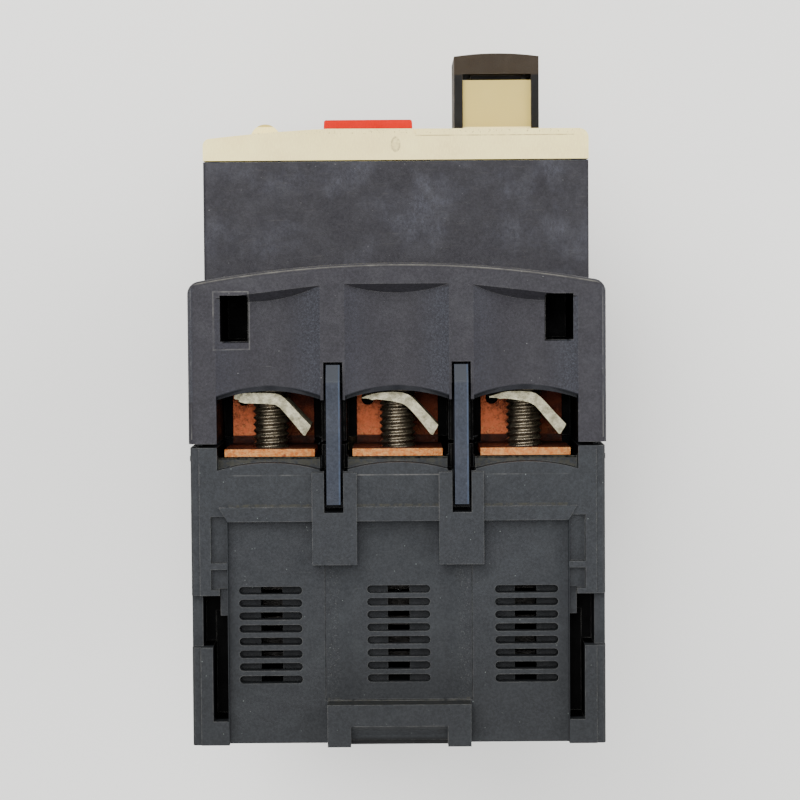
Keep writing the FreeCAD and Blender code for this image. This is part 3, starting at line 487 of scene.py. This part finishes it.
def copper_sheet():
    """Punched copper: oxidised faces, bright grains as painted glints, painted shadow on the upper back
    plate, behind each clamp heel, on the flat top face and in the bend, and pale sheared edges.
    """
    g = Graph("copper_sheet", Specular_IOR_Level=0.4)
    depth = g.axis("Y")
    blotch = g.ramp(g.noise(0.55, 5, 0.7), 0.34, 0.60)
    faces = g.mix(blotch, (0.115, 0.027, 0.013, 1), (0.80, 0.170, 0.060, 1))
    # painted glints: bright grains in a band low on the back plate
    grains = g.ramp(g.noise(4.0, 5, 0.75, None, 0.8), 0.46, 0.62)
    glint_band = g.every(g.ramp(depth, -27.6, -26.4, 0.08, 1.0), g.ramp(depth, -25.5, -25.9))
    faces = g.mix(g.every(grains, glint_band), faces, (0.95, 0.36, 0.14, 1))
    # painted shadow: the upper back plate is darkened
    faces = g.mix(g.ramp(depth, -27.8, -30.2, 0.0, 0.65), faces, (0.045, 0.012, 0.006, 1))

    upright = g.ramp(depth, -25.6, -25.8)
    pole_edge = POLE_PITCH * 2.5
    from_edge = g.math("MODULO", g.math("ADD", g.axis("X"), pole_edge), POLE_PITCH)
    offset = g.math("SUBTRACT", from_edge, POLE_PITCH / 2)
    # painted shadow behind each clamp heel, on the -X side of each screw
    heel_shadow = g.every(upright, g.ramp(offset, 0.5, -1.8), 0.75)
    faces = g.mix(heel_shadow, faces, (0.05, 0.011, 0.006, 1))
    # painted glints: bright grains on the lit side of each screw
    lit_side = g.every(upright, g.ramp(offset, -0.5, 1.5))
    painted_glints = g.every(lit_side, g.ramp(g.noise(2.6, 5, 0.8), 0.36, 0.60), 0.75)
    faces = g.mix(painted_glints, faces, (1.0, 0.26, 0.105, 1))

    # painted shade: patchy darkening of the flat plate's top face
    flat = g.every(g.ramp(g.facing("Y"), -0.8, -0.95), g.within("Y", -24.95, -24.6))
    patchy_floor_shade = g.ramp(g.noise(1.3, 3, 0.6, g.stretched(0.8, 1, 1.6)), 0.62, 0.72, 0.92, 0.3)
    faces = g.mix(g.every(flat, patchy_floor_shade), faces, (0.035, 0.009, 0.004, 1))
    # painted shade: the bend is darkened nearly to black
    bend_shade = g.every(g.within("Y", -25.75, -24.6, 0.1), g.ramp(g.away("Z"), 34.8, 34.5), 0.93)
    faces = g.mix(bend_shade, faces, (0.008, 0.003, 0.002, 1))

    cut_line = g.every(g.ramp(g.axis("Z"), 42.2, 42.3), g.ramp(g.facing("Z"), 0.5, 0.7))
    cut_load = g.every(g.ramp(g.axis("Z"), -42.2, -42.3), g.ramp(g.facing("Z"), -0.5, -0.7))
    cut = g.some(cut_line, cut_load)
    peach = g.mix(g.ramp(g.noise(2.0, 4, 0.7), 0.35, 0.65), (0.44, 0.125, 0.022, 1), (0.56, 0.26, 0.085, 1))
    torn = g.ramp(g.noise(1.1, 3, 0.6, g.stretched(1, 2.4, 1)), 0.6, 0.72)
    sheared = g.mix(torn, peach, (0.22, 0.05, 0.012, 1))

    g.shade(g.noise(4.5, 5, 0.75, None, 0.5), 0.22)
    rough = g.ramp(g.noise(1.8, 3), 0.3, 0.7, 0.36, 0.6)
    dull = g.math("ADD", g.every(g.some(cut, bend_shade), 0.35), g.every(lit_side, 0.3))
    return g.paint(g.mix(cut, faces, sheared), rough, g.math("SUBTRACT", 0.45, dull))


def plated(name, colour, tint, rough=0.38, metal=0.85, grain=0.05, bright=1.5, edge=0.15, shaded_inside=False):
    """Zinc plate: cloudy grey with a faint warm or green tint, fine pitting, and lighter edges: polished
    wear, and on the screw threads a painted highlight along the crests.
    """
    g = Graph(name, Specular_IOR_Level=0.4)
    cloudy = g.mix(g.ramp(g.noise(1.3, 5, 0.7), 0.34, 0.66), colour, tint)
    pits = g.ramp(g.noise(5.0, 4, 0.75), 0.40, 0.28)
    pitted = g.mix(g.every(pits, 0.6), cloudy, shades(colour, 0.35))
    g.shade(g.noise(4.0, 4, 0.65), grain)
    # lighter edges: polished wear, and on the screws a painted highlight along the thread crests
    edges_lightened = g.mix(g.every(g.edges(edge), 0.8), pitted, shades(colour, bright))
    # painted shade: steel in the rear part of the body, seen through the vents, darkened nearly to black
    if shaded_inside:
        edges_lightened = g.mix(g.ramp(g.axis("Y"), -13, -12), edges_lightened, (0.05, 0.045, 0.04, 1), "MULTIPLY")
    return g.paint(edges_lightened, g.ramp(g.noise(1.6, 4), 0.3, 0.7, rough - 0.1, rough + 0.14), metal)


def ink(name, colour):
    """Pad print: slightly uneven cover."""
    g = Graph(name, Specular_IOR_Level=0.2)
    faded = [c * 0.8 + 0.04 for c in colour[:3]] + [1]
    g.shade(g.noise(8.0, 2), 0.01)
    return g.paint(g.mix(g.ramp(g.noise(2.0, 4, 0.7), 0.45, 0.75), colour, faded), 0.55)


MATERIALS = {
    "charcoal_plastic": moulded(
        "charcoal_plastic", (0.0180, 0.0170, 0.0203, 1), (0.115, 0.112, 0.104, 1),
        haze=0.1, wear=0.65, marks=housing_marks, spared=unworn_edges, speckle=0.6),
    "cream_plastic": moulded(
        "cream_plastic", (0.90, 0.715, 0.315, 1), (0.93, 0.80, 0.48, 1), grain=0.012, rough=0.45, dust=0.0,
        scuffs=0.12, wear=0.35, haze_colour=(0.80, 0.62, 0.28, 1), marks=cream_marks),
    "red_plastic": moulded(
        "red_plastic", (0.45, 0.0045, 0.0004, 1), (0.6, 0.04, 0.02, 1), grain=0.012, rough=0.5, dust=0.1,
        scuffs=0.1, wear=0.4, specular=0.06, haze_colour=(0.46, 0.02, 0.008, 1),
        marks=print_on(middle("stop_button"), "ring", (0.88, 0.80, 0.62, 1))),
    "black_plastic": moulded(
        "black_plastic", (0.0235, 0.0162, 0.0095, 1), (0.11, 0.09, 0.065, 1), grain=0.06, dust=0.4,
        scuffs=0.6, haze_colour=(0.060, 0.045, 0.030, 1), marks=cap_marks),
    "blue_grey_plastic": moulded(
        "blue_grey_plastic", (0.0175, 0.0205, 0.0285, 1), (0.055, 0.072, 0.108, 1),
        haze=0.1, wear=0.4, marks=barrier_marks, speckle=0.6),
    "ivory_plastic": moulded("ivory_plastic", (0.58, 0.48, 0.30, 1), (0.7, 0.62, 0.45, 1), dust=0.1),
    "copper": copper_sheet(),
    "zinc": plated(
        "zinc", (0.17, 0.155, 0.095, 1), (0.42, 0.39, 0.27, 1), rough=0.5, metal=0.3, grain=0.12, bright=2.4),
    "screw_steel": plated(
        "screw_steel", (0.17, 0.145, 0.105, 1), (0.10, 0.085, 0.062, 1), rough=0.3, metal=0.95,
        bright=3.6, edge=0.07),
    "steel": plated("steel", (0.30, 0.30, 0.30, 1), (0.22, 0.23, 0.24, 1), shaded_inside=True),
    "spring_steel": plated(
        "spring_steel", (0.40, 0.40, 0.40, 1), (0.33, 0.33, 0.33, 1), rough=0.25, metal=1.0),
}
LABEL_FILM = moulded(
    "label_film", (0.42, 0.43, 0.43, 1), (0.6, 0.6, 0.6, 1), grain=0.006, rough=0.35, dust=0.1,
    scuffs=0.2, wear=0.3, specular=0.3, haze_colour=(0.30, 0.30, 0.29, 1))
BLACK_INK = ink("black_ink", (0.012, 0.012, 0.013, 1))
WHITE_INK = ink("white_ink", (0.42, 0.41, 0.38, 1))

SLOT_OF = {row["node"]: row["material_slot"] for row in frame["record"]["subparts"]}
for node_name, node in NODES.items():
    node.data.materials.clear()
    node.data.materials.append(MATERIALS[SLOT_OF[node_name]])


# ------------------------------------------------------------------ mesh helpers

def piece(name, mesh, body, slot_name=None, material=None, replaced=()):
    """A new visible piece that rides on a body."""
    obj = bpy.data.objects.new(name, mesh)
    bpy.context.scene.collection.objects.link(obj)
    obj.data.materials.clear()
    obj.data.materials.append(material or MATERIALS[slot_name])
    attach(obj, body)
    if replaced:
        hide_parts(*replaced)
    return obj


def soften(obj, width, segments=2, angle=35):
    """Small real rounds on every sharp edge."""
    bevel = obj.modifiers.new("edges", "BEVEL")
    bevel.width = width * MM
    bevel.segments = segments
    bevel.limit_method = "ANGLE"
    bevel.angle_limit = math.radians(angle)
    bevel.harden_normals = False
    return obj


# ------------------------------------------------------------------ screws

THREAD_PITCH = 0.7 * MM


def screw_mesh(length, shank_r, head_r, head_h):
    """Threaded shank from the tip at 0 to length along +Z, then a domed cross-recess head."""
    depth, turns_around, rows_per_pitch = 0.27 * MM, 44, 12
    tip = 0.8 * MM
    rows = int(length / THREAD_PITCH * rows_per_pitch)
    mesh = bmesh.new()
    rings = []
    for row in range(rows + 1):
        along = length * row / rows
        ring = []
        for step in range(turns_around):
            turn = step / turns_around
            phase = (along / THREAD_PITCH - turn) % 1.0
            groove = 0.5 + 0.5 * math.cos(2 * math.pi * phase)
            taper = min(1.0, along / tip)
            radius = shank_r - depth * groove - depth * (1 - taper)
            angle = 2 * math.pi * turn
            ring.append(mesh.verts.new((radius * math.cos(angle), radius * math.sin(angle), along)))
        rings.append(ring)
    profile = [(head_r * 0.97, 0.0), (head_r, 0.05), (head_r, 0.55), (head_r * 0.97, 0.72),
               (head_r * 0.88, 0.88), (head_r * 0.7, 0.96), (head_r * 0.4, 1.0)]
    for radius, share in profile:
        along = length + head_h * share
        angles = [2 * math.pi * s / turns_around for s in range(turns_around)]
        rings.append([mesh.verts.new((radius * math.cos(a), radius * math.sin(a), along)) for a in angles])
    for lower, upper in zip(rings, rings[1:]):
        for step in range(turns_around):
            following = (step + 1) % turns_around
            mesh.faces.new((lower[step], lower[following], upper[following], upper[step]))
    mesh.faces.new(list(reversed(rings[0])))
    mesh.faces.new(rings[-1])
    data = bpy.data.meshes.new("screw")
    mesh.to_mesh(data)
    mesh.free()
    return data


def recess_mesh(reach, half, deep, top):
    """Cross-shaped cutter that narrows towards its bottom."""
    mesh = bmesh.new()
    for turn in (0, math.pi / 2):
        corners_of_arm = []
        for level, grow in ((top - deep, 0.75), (top + 0.3 * MM, 1.1)):
            corners_of_arm.append([Vector((sx * reach * grow, sy * half * grow, level))
                                   for sx, sy in ((-1, -1), (1, -1), (1, 1), (-1, 1))])
        verts = [mesh.verts.new(Matrix.Rotation(turn, 3, "Z") @ v) for ring in corners_of_arm for v in ring]
        mesh.faces.new(verts[3::-1])
        mesh.faces.new(verts[4:])
        for side in range(4):
            after = (side + 1) % 4
            mesh.faces.new((verts[side], verts[after], verts[4 + after], verts[4 + side]))
    data = bpy.data.meshes.new("recess")
    mesh.to_mesh(data)
    mesh.free()
    return data


def cut_mesh(mesh, cutter):
    """The mesh with the cutter taken away, as new mesh data."""
    solid = bpy.data.objects.new("solid", mesh)
    tool = bpy.data.objects.new("tool", cutter)
    for obj in (solid, tool):
        bpy.context.scene.collection.objects.link(obj)
    boolean = solid.modifiers.new("cut", "BOOLEAN")
    boolean.operation = "DIFFERENCE"
    boolean.solver = "EXACT"
    boolean.use_self = True
    boolean.object = tool
    result = bpy.data.meshes.new_from_object(solid.evaluated_get(bpy.context.evaluated_depsgraph_get()))
    for obj in (solid, tool):
        bpy.data.objects.remove(obj)
    return result


def terminal_screws():
    low, high = corners("screw_line_2")
    clamp_front = corners("clamp_line_2")[0].y
    length = high.y - clamp_front
    head_r = (high.x - low.x) / 2
    head_h = clamp_front - low.y
    shank_r = 1.96 * MM
    plain = screw_mesh(length, shank_r, head_r, head_h)
    shape = cut_mesh(plain, recess_mesh(2.0 * MM, 0.44 * MM, 1.4 * MM, length + head_h))
    to_front = Matrix.Rotation(math.radians(90), 4, "X")
    for end in ENDS:
        for number in (1, 2, 3):
            name = f"screw_{end}_{number}"
            spot = middle(name)
            mesh = shape.copy()
            turned = Matrix.Rotation(math.radians(25 + 47 * number), 4, "Y")
            mesh.transform(Matrix.Translation((spot.x, high.y, spot.z)) @ turned @ to_front)
            made = piece(name + "_threaded", mesh, name, "screw_steel", replaced=(name,))
            for face in made.data.polygons:
                face.use_smooth = True
            made.modifiers.new("crisp", "EDGE_SPLIT").split_angle = math.radians(50)


# ------------------------------------------------------------------ wire clamps

# Clamp sections: x from the screw's axis, depth in front of the rear face.  The bent heel is common to all;
# the toe is square on one clamp and hammered thin on the others.
REAR_FACE = 7
HEEL = [(0.4, 37.88), (-0.6, 37.80), (-1.15, 37.62), (-1.62, 37.28), (-2.2, 36.66), (-3.3, 35.46),
        (-4.40, 34.27), (-4.30, 34.0), (-3.80, 33.17), (-3.58, 33.24), (-2.9, 34.1), (-1.8, 35.45),
        (-1.1, 36.22), (-0.6, 36.55)]
SQUARE_TOE = [(0.2, 36.66), (1.6, 36.70), (2.7, 36.72), (3.2, 36.86), (3.42, 36.98), (3.30, 37.12),
              (3.78, 37.2), (3.88, 37.42), (3.80, 37.66), (3.62, 37.80), (3.0, 37.88), (1.8, 37.90)]
THIN_TOE = [(0.2, 36.78), (1.4, 36.98), (2.3, 37.10), (2.75, 37.02), (3.1, 37.16), (3.86, 37.20),
            (3.88, 37.30), (3.3, 37.50), (2.6, 37.72), (1.8, 37.86)]


def prism_mesh(outline, low, high):
    """Prism along Z from (x, y) corners."""
    mesh = bmesh.new()
    rings = [[mesh.verts.new((x, y, z)) for x, y in outline] for z in (low, high)]
    mesh.faces.new(rings[0][::-1])
    mesh.faces.new(rings[1])
    for step in range(len(outline)):
        after = (step + 1) % len(outline)
        mesh.faces.new((rings[0][step], rings[0][after], rings[1][after], rings[1][step]))
    bmesh.ops.recalc_face_normals(mesh, faces=mesh.faces)
    data = bpy.data.meshes.new("prism")
    mesh.to_mesh(data)
    mesh.free()
    return data


def rod_mesh(radius, low, high, steps=40):
    """Plain rod along Z."""
    circle = [(radius * math.cos(2 * math.pi * s / steps), radius * math.sin(2 * math.pi * s / steps))
              for s in range(steps)]
    return prism_mesh(circle, low, high)


def clamp_outline(number, screw_x):
    """Slightly wavy section of one clamp in the frame."""
    section = HEEL + (SQUARE_TOE if number == 1 else THIN_TOE)
    upper_face = 37
    outline = []
    for index, (x, depth) in enumerate(section):
        lift = abs(0.035 * math.sin(2.1 * index + 1.7 * number))
        lowered = REAR_FACE - depth + (lift if depth > upper_face else 0)
        outline.append((screw_x + (x - lift) * MM, lowered * MM))
    return outline


def wire_clamps():
    upright = Matrix.Rotation(math.radians(90), 4, "X")
    for end in ENDS:
        for number in (1, 2, 3):
            name = f"clamp_{end}_{number}"
            low, high = corners(name)
            screw = middle(f"screw_{end}_{number}")
            hole = rod_mesh(2.1 * MM, -9 * MM, 9 * MM)
            hole.transform(Matrix.Translation((screw.x, low.y, screw.z)) @ upright)
            plate = cut_mesh(prism_mesh(clamp_outline(number, screw.x), low.z, high.z), hole)
            soften(piece(name + "_formed", plate, name, "zinc", replaced=(name,)), 0.13, 3, 40)


# ------------------------------------------------------------------ springs

def coil_mesh(length, outer, wire, turns, steps=20, sides=8):
    """Compression spring along +Z from 0, with closed ends."""
    mean, rise = outer - wire, length - 2 * wire
    total = int((turns + 2) * steps)
    mesh = bmesh.new()
    rings = []
    for index in range(total + 1):
        turn = index / steps
        share = min(1.0, max(0.0, (turn - 1) / turns))
        angle = 2 * math.pi * turn
        lead = 2.05 * wire * (min(turn, 1) + max(turn - turns - 1, 0))
        level = wire + share * (rise - 4.1 * wire) + lead
        centre = Vector((mean * math.cos(angle), mean * math.sin(angle), level))
        outward = Vector((math.cos(angle), math.sin(angle), 0))
        ring = []
        for k in range(sides):
            round_wire = 2 * math.pi * k / sides
            rise_here = Vector((0, 0, wire * math.sin(round_wire)))
            ring.append(mesh.verts.new(centre + outward * wire * math.cos(round_wire) + rise_here))
        rings.append(ring)
    for lower, upper in zip(rings, rings[1:]):
        for k in range(sides):
            after = (k + 1) % sides
            mesh.faces.new((lower[k], upper[k], upper[after], lower[after]))
    mesh.faces.new(rings[0])
    mesh.faces.new(rings[-1][::-1])
    for face in mesh.faces:
        face.smooth = True
    data = bpy.data.meshes.new("coil")
    mesh.to_mesh(data)
    mesh.free()
    return data


def springs():
    low, high = corners("clip_spring")
    coil = coil_mesh(high.z - low.z, (high.x - low.x) / 2, 0.24 * MM, 6)
    coil.transform(Matrix.Translation((0, (low.y + high.y) / 2, low.z)))
    made = piece("clip_spring_coil", coil, "breaker", "spring_steel", replaced=("clip_spring",))
    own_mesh(made)
    low, high = corners("stop_spring")
    coil = coil_mesh(high.y - low.y, (high.x - low.x) / 2, 0.32 * MM, 5)
    coil.transform(Matrix.Translation(((low.x + high.x) / 2, high.y, (low.z + high.z) / 2))
                   @ Matrix.Rotation(math.radians(90), 4, "X"))
    made = piece("stop_spring_coil", coil, "breaker", "spring_steel", replaced=("stop_spring",))
    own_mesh(made)


# ------------------------------------------------------------------ marks on the front

def surface_of(*nodes):
    """Tree that finds the front surface of some CAD pieces."""
    verts, faces = [], []
    for name in nodes:
        node = NODES[name]
        start = len(verts)
        verts += [node.matrix_world @ v.co for v in node.data.vertices]
        faces += [[start + i for i in face.vertices] for face in node.data.polygons]
    return BVHTree.FromPolygons(verts, faces)


def front_of(onto, x, z):
    """Y of the front surface at a place."""
    before_everything = -0.12
    return onto.ray_cast(Vector((x, before_everything, z)), Vector((0, 1, 0)))[0].y


def flat_text(words, size):
    """Mesh of some lettering, centred, in the XZ plane and facing -Y."""
    curve = bpy.data.curves.new("words", "FONT")
    curve.body = words
    curve.size = size * MM
    curve.align_x = "CENTER"
    curve.align_y = "CENTER"
    curve.resolution_u = 4
    holder = bpy.data.objects.new("words", curve)
    bpy.context.scene.collection.objects.link(holder)
    data = bpy.data.meshes.new_from_object(holder.evaluated_get(bpy.context.evaluated_depsgraph_get()))
    bpy.data.objects.remove(holder)
    data.transform(Matrix.Rotation(math.radians(90), 4, "X"))
    return data


def bar_mark(width, height):
    data = bpy.data.meshes.new("bar")
    w, h = width / 2 * MM, height / 2 * MM
    data.from_pydata([(-w, 0, -h), (w, 0, -h), (w, 0, h), (-w, 0, h)], [], [(0, 1, 2, 3)])
    return data


def joined(parts):
    """One mesh from several (mesh, matrix) pairs."""
    mesh = bmesh.new()
    for data, matrix in parts:
        data.transform(matrix)
        mesh.from_mesh(data)
    result = bpy.data.meshes.new("marks")
    mesh.to_mesh(result)
    mesh.free()
    return result


def printed(name, parts, body, onto, material):
    """Lays flat marks on a surface, a hair in front of it, as a thin film."""
    data = joined(parts)
    film = 0.015 * MM
    for vertex in data.vertices:
        vertex.co.y = front_of(onto, vertex.co.x, vertex.co.z) - film
    return piece(name, data, body, material=material)


def spot(x, z, turn=0.0):
    return Matrix.Translation((x, 0, z)) @ Matrix.Rotation(turn, 4, "Y")


def front_marks():
    cover = surface_of("front_cover")
    dial = middle("setting_dial")
    dial_r = (corners("setting_dial")[1].x - corners("setting_dial")[0].x) / 2

    def round_dial(turn, clear):
        """X and Z at an angle round the dial, some millimetres clear of its edge."""
        reach = dial_r + clear * MM
        return dial.x + reach * math.sin(turn), dial.z + reach * math.cos(turn)

    parts = []
    first, last, steps = -120, 120, 24
    for step in range(steps + 1):
        turn = math.radians(first + (last - first) * step / steps)
        tall = 0.9 if step % 4 == 0 else 0.5
        x, z = round_dial(turn, 0.75 + tall / 2)
        parts.append((bar_mark(0.16, tall), spot(x, z, turn)))
    for step, words in enumerate(("6", "7", "8", "9", "10", "11", "12")):
        turn = math.radians(first + (last - first) * step / 6)
        parts.append((flat_text(words, 1.55), spot(*round_dial(turn, 2.75))))
    test = middle("test_slider")
    parts.append((flat_text("TEST", 1.7), spot(-12.5 * MM, test.z + 4.4 * MM)))
    printed("cover_print", parts, "breaker", cover, BLACK_INK)
    for end, sign in ENDS.items():
        shroud = surface_of(f"shroud_{end}")
        parts = []
        for number in (1, 2, 3):
            words = str(7 - 2 * number if end == "line" else 8 - 2 * number)
            place = middle(f"screw_{end}_{number}")
            parts.append((flat_text(words, 2.0), spot(place.x + 0.1 * MM, place.z - sign * 6.6 * MM)))
        printed(f"terminal_numbers_{end}", parts, "breaker", shroud, WHITE_INK)
    disc = surface_of("setting_dial")
    arrow = bpy.data.meshes.new("arrow")
    arrow.from_pydata([(-0.55 * MM, 0, 0), (0.55 * MM, 0, 0), (0, 0, 1.0 * MM)], [], [(0, 1, 2)])
    pointer = [(arrow, spot(dial.x, dial.z + 3.9 * MM))]
    printed("dial_pointer", pointer, "setting_dial", disc, WHITE_INK)


# ------------------------------------------------------------------ mouldings that the CAD leaves out

def slab(x0, x1, y0, y1, z0, z1):
    """Box between millimetre limits in the frame."""
    outline = [(x * MM, y * MM) for x, y in ((x0, y0), (x1, y0), (x1, y1), (x0, y1))]
    return (prism_mesh(outline, z0 * MM, z1 * MM), Matrix.Identity(4))


SIDE = 22.2                     # half width of the base
SIDES = {"right": 1, "left": -1}


def on_side(side, inner, outer, *rest):
    """Box on one side of the frame, between two distances from its middle."""
    return slab(*sorted((side * inner, side * outer)), *rest)


def side_ribs():
    """Fine ribs and a rim moulded on both sides of the base."""
    count, pitch, first, thick = 9, 1.3, 29.0, 0.5
    rib, rim = SIDE + 0.16, SIDE + 0.14
    for name, side in SIDES.items():
        parts = []
        for row in range(count):
            level = first + pitch * row
            parts.append(on_side(side, SIDE, rib, -10.5, -2.5, -level - thick, -level))
            parts.append(on_side(side, SIDE, rib, -10.5, -2.5, level, level + thick))
        parts.append(on_side(side, SIDE, rim, -24.2, -23.6, -43.4, 43.4))
        for low, high in ((-21.6, -21.0), (21.0, 21.6)):
            parts.append(on_side(side, SIDE, rim, -24.2, -1.0, low, high))
        soften(piece(f"side_ribs_{name}", joined(parts), "breaker", "charcoal_plastic"), 0.05, 2)


def parting_tongues():
    """Tongue that closes the parting line between the base and the upper mouldings on either side."""
    for name, side in SIDES.items():
        tongue = on_side(side, 21.2, 21.6, PARTING - 0.7, PARTING + 0.7, -41.0, 41.0)
        piece(f"parting_tongue_{name}", joined([tongue]), "breaker", "charcoal_plastic")


def side_label():
    """Blank rating label on the right side, with an empty frame line."""
    film = joined([slab(SIDE, SIDE + 0.07, -21.5, -2.2, -16.5, 16.5)])
    soften(piece("side_label", film, "breaker", material=LABEL_FILM), 0.02, 1)
    inner, outer, thick = SIDE + 0.04, SIDE + 0.085, 0.18
    front, back, low = -20.7, -3.0, -15.7
    lines = [slab(inner, outer, front, back, level, level + thick) for level in (low, -8.0, 3.0, 15.5)]
    lines += [slab(inner, outer, depth, depth + thick, low, 15.68) for depth in (front, back - thick)]
    piece("side_label_lines", joined(lines), "breaker", material=BLACK_INK)


def frame_slabs(x0, x1, z0, z1, wide, top, foot):
    """Four bars round a rectangle on the front."""
    return [slab(x0 - wide, x0, top, foot, z0 - wide, z1 + wide),
            slab(x1, x1 + wide, top, foot, z0 - wide, z1 + wide),
            slab(x0, x1, top, foot, z1, z1 + wide),
            slab(x0, x1, top, foot, z0 - wide, z0)]


def cover_bezels():
    """Low frames round the two buttons and the test slot."""
    onto = surface_of("front_cover")
    test_slot = (Vector((-15.6, 0, -13.8)) * MM, Vector((-8.4, 0, -10.2)) * MM)
    frames = (("start", corners("start_cap"), 0.55, 0.75), ("stop", corners("stop_button"), -0.35, 0.75),
              ("test", test_slot, 0.25, 0.55))
    for name, (low, high), gap, wide in frames:
        x0, x1 = low.x / MM - gap, high.x / MM + gap
        z0, z1 = low.z / MM - gap, high.z / MM + gap
        level = front_of(onto, (low.x + high.x) / 2, high.z + 2 * MM) / MM
        parts = frame_slabs(x0, x1, z0, z1, wide, level - 0.35, level + 0.25)
        soften(piece(f"cover_frame_{name}", joined(parts), "breaker", "cream_plastic"), 0.12)


# ------------------------------------------------------------------ real rounds on the CAD pieces

ROUNDS = {
    "bar_": 0.10, "barrier_": 0.10, "start_cap": 0.2, "start_core": 0.2, "stop_button": 0.15,
    "setting_dial": 0.2, "test_slider": 0.15, "front_cover": 0.12, "rail_clip": 0.25, "housing_screws": 0.12,
    "trip_bar": 0.15, "contact_carrier": 0.2, "toggle_lever": 0.12, "mechanism_frame": 0.12, "bridge_": 0.12,
    "yoke_": 0.12,
}


def real_rounds():
    for node_name, node in NODES.items():
        for start, width in ROUNDS.items():
            if node_name.startswith(start):
                soften(node, width)


terminal_screws()
wire_clamps()
springs()
front_marks()
side_ribs()
parting_tongues()
side_label()
cover_bezels()
real_rounds()


# ------------------------------------------------------------------ stage, light and camera

def stage():
    low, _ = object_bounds()
    size = 3.0
    mesh = bpy.data.meshes.new("floor")
    mesh.from_pydata([(-size, -size, low.z), (size, -size, low.z), (size, size, low.z), (-size, size, low.z)],
                     [], [(0, 1, 2, 3)])
    floor = bpy.data.objects.new("floor", mesh)
    bpy.context.scene.collection.objects.link(floor)
    g = Graph("floor_paint", Specular_IOR_Level=0.2)
    tone = g.mix(g.noise(0.004, 3), (0.80, 0.79, 0.76, 1), (0.84, 0.83, 0.80, 1))
    floor.data.materials.append(g.paint(tone, 0.8))
    floor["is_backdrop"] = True


def soft_light(name, place, target, size, watts):
    data = bpy.data.lights.new(name, "AREA")
    data.shape = "RECTANGLE"
    data.size, data.size_y = size
    data.energy = watts
    lamp = bpy.data.objects.new(name, data)
    bpy.context.scene.collection.objects.link(lamp)
    lamp.location = place
    lamp.rotation_euler = (Vector(target) - Vector(place)).to_track_quat("-Z", "Y").to_euler()


def lights():
    heart = (0, -0.02, 0.02)
    soft_light("key", (0.22, -0.42, 0.62), heart, (0.5, 0.5), 6.5)
    soft_light("fill", (-0.55, -0.25, 0.45), heart, (0.6, 0.6), 4.5)
    soft_light("back", (0.10, 0.55, 0.45), heart, (0.6, 0.4), 2.5)
    soft_light("over", (0.02, -0.09, 0.55), (0, -0.03, 0.04), (0.16, 0.16), 1.5)
    world = bpy.data.worlds.new("studio")
    world.use_nodes = True
    world.node_tree.nodes["Background"].inputs["Color"].default_value = (0.95, 0.97, 1.0, 1)
    world.node_tree.nodes["Background"].inputs["Strength"].default_value = 0.75
    bpy.context.scene.world = world


def camera():
    """Looks down on the line end, pitched a little towards the rear face."""
    pitch, roll = math.radians(2.72), math.radians(-0.41)
    ahead = Vector((0, math.sin(pitch), -math.cos(pitch)))
    up = Vector((0, -math.cos(pitch), -math.sin(pitch)))
    right = Vector((-1, 0, 0))
    turned_right = right * math.cos(roll) + up * math.sin(roll)
    turned_up = up * math.cos(roll) - right * math.sin(roll)
    data = bpy.data.cameras.new("camera")
    data.lens = 111.5
    data.sensor_width = 36
    data.clip_start = 0.01
    cam = bpy.data.objects.new("camera", data)
    bpy.context.scene.collection.objects.link(cam)
    basis = Matrix((turned_right, turned_up, -ahead)).transposed()
    cam.matrix_world = Matrix.Translation(Vector((-0.30, -42.68, 309.12)) * MM) @ basis.to_4x4()
    bpy.context.scene.camera = cam


stage()
lights()
camera()
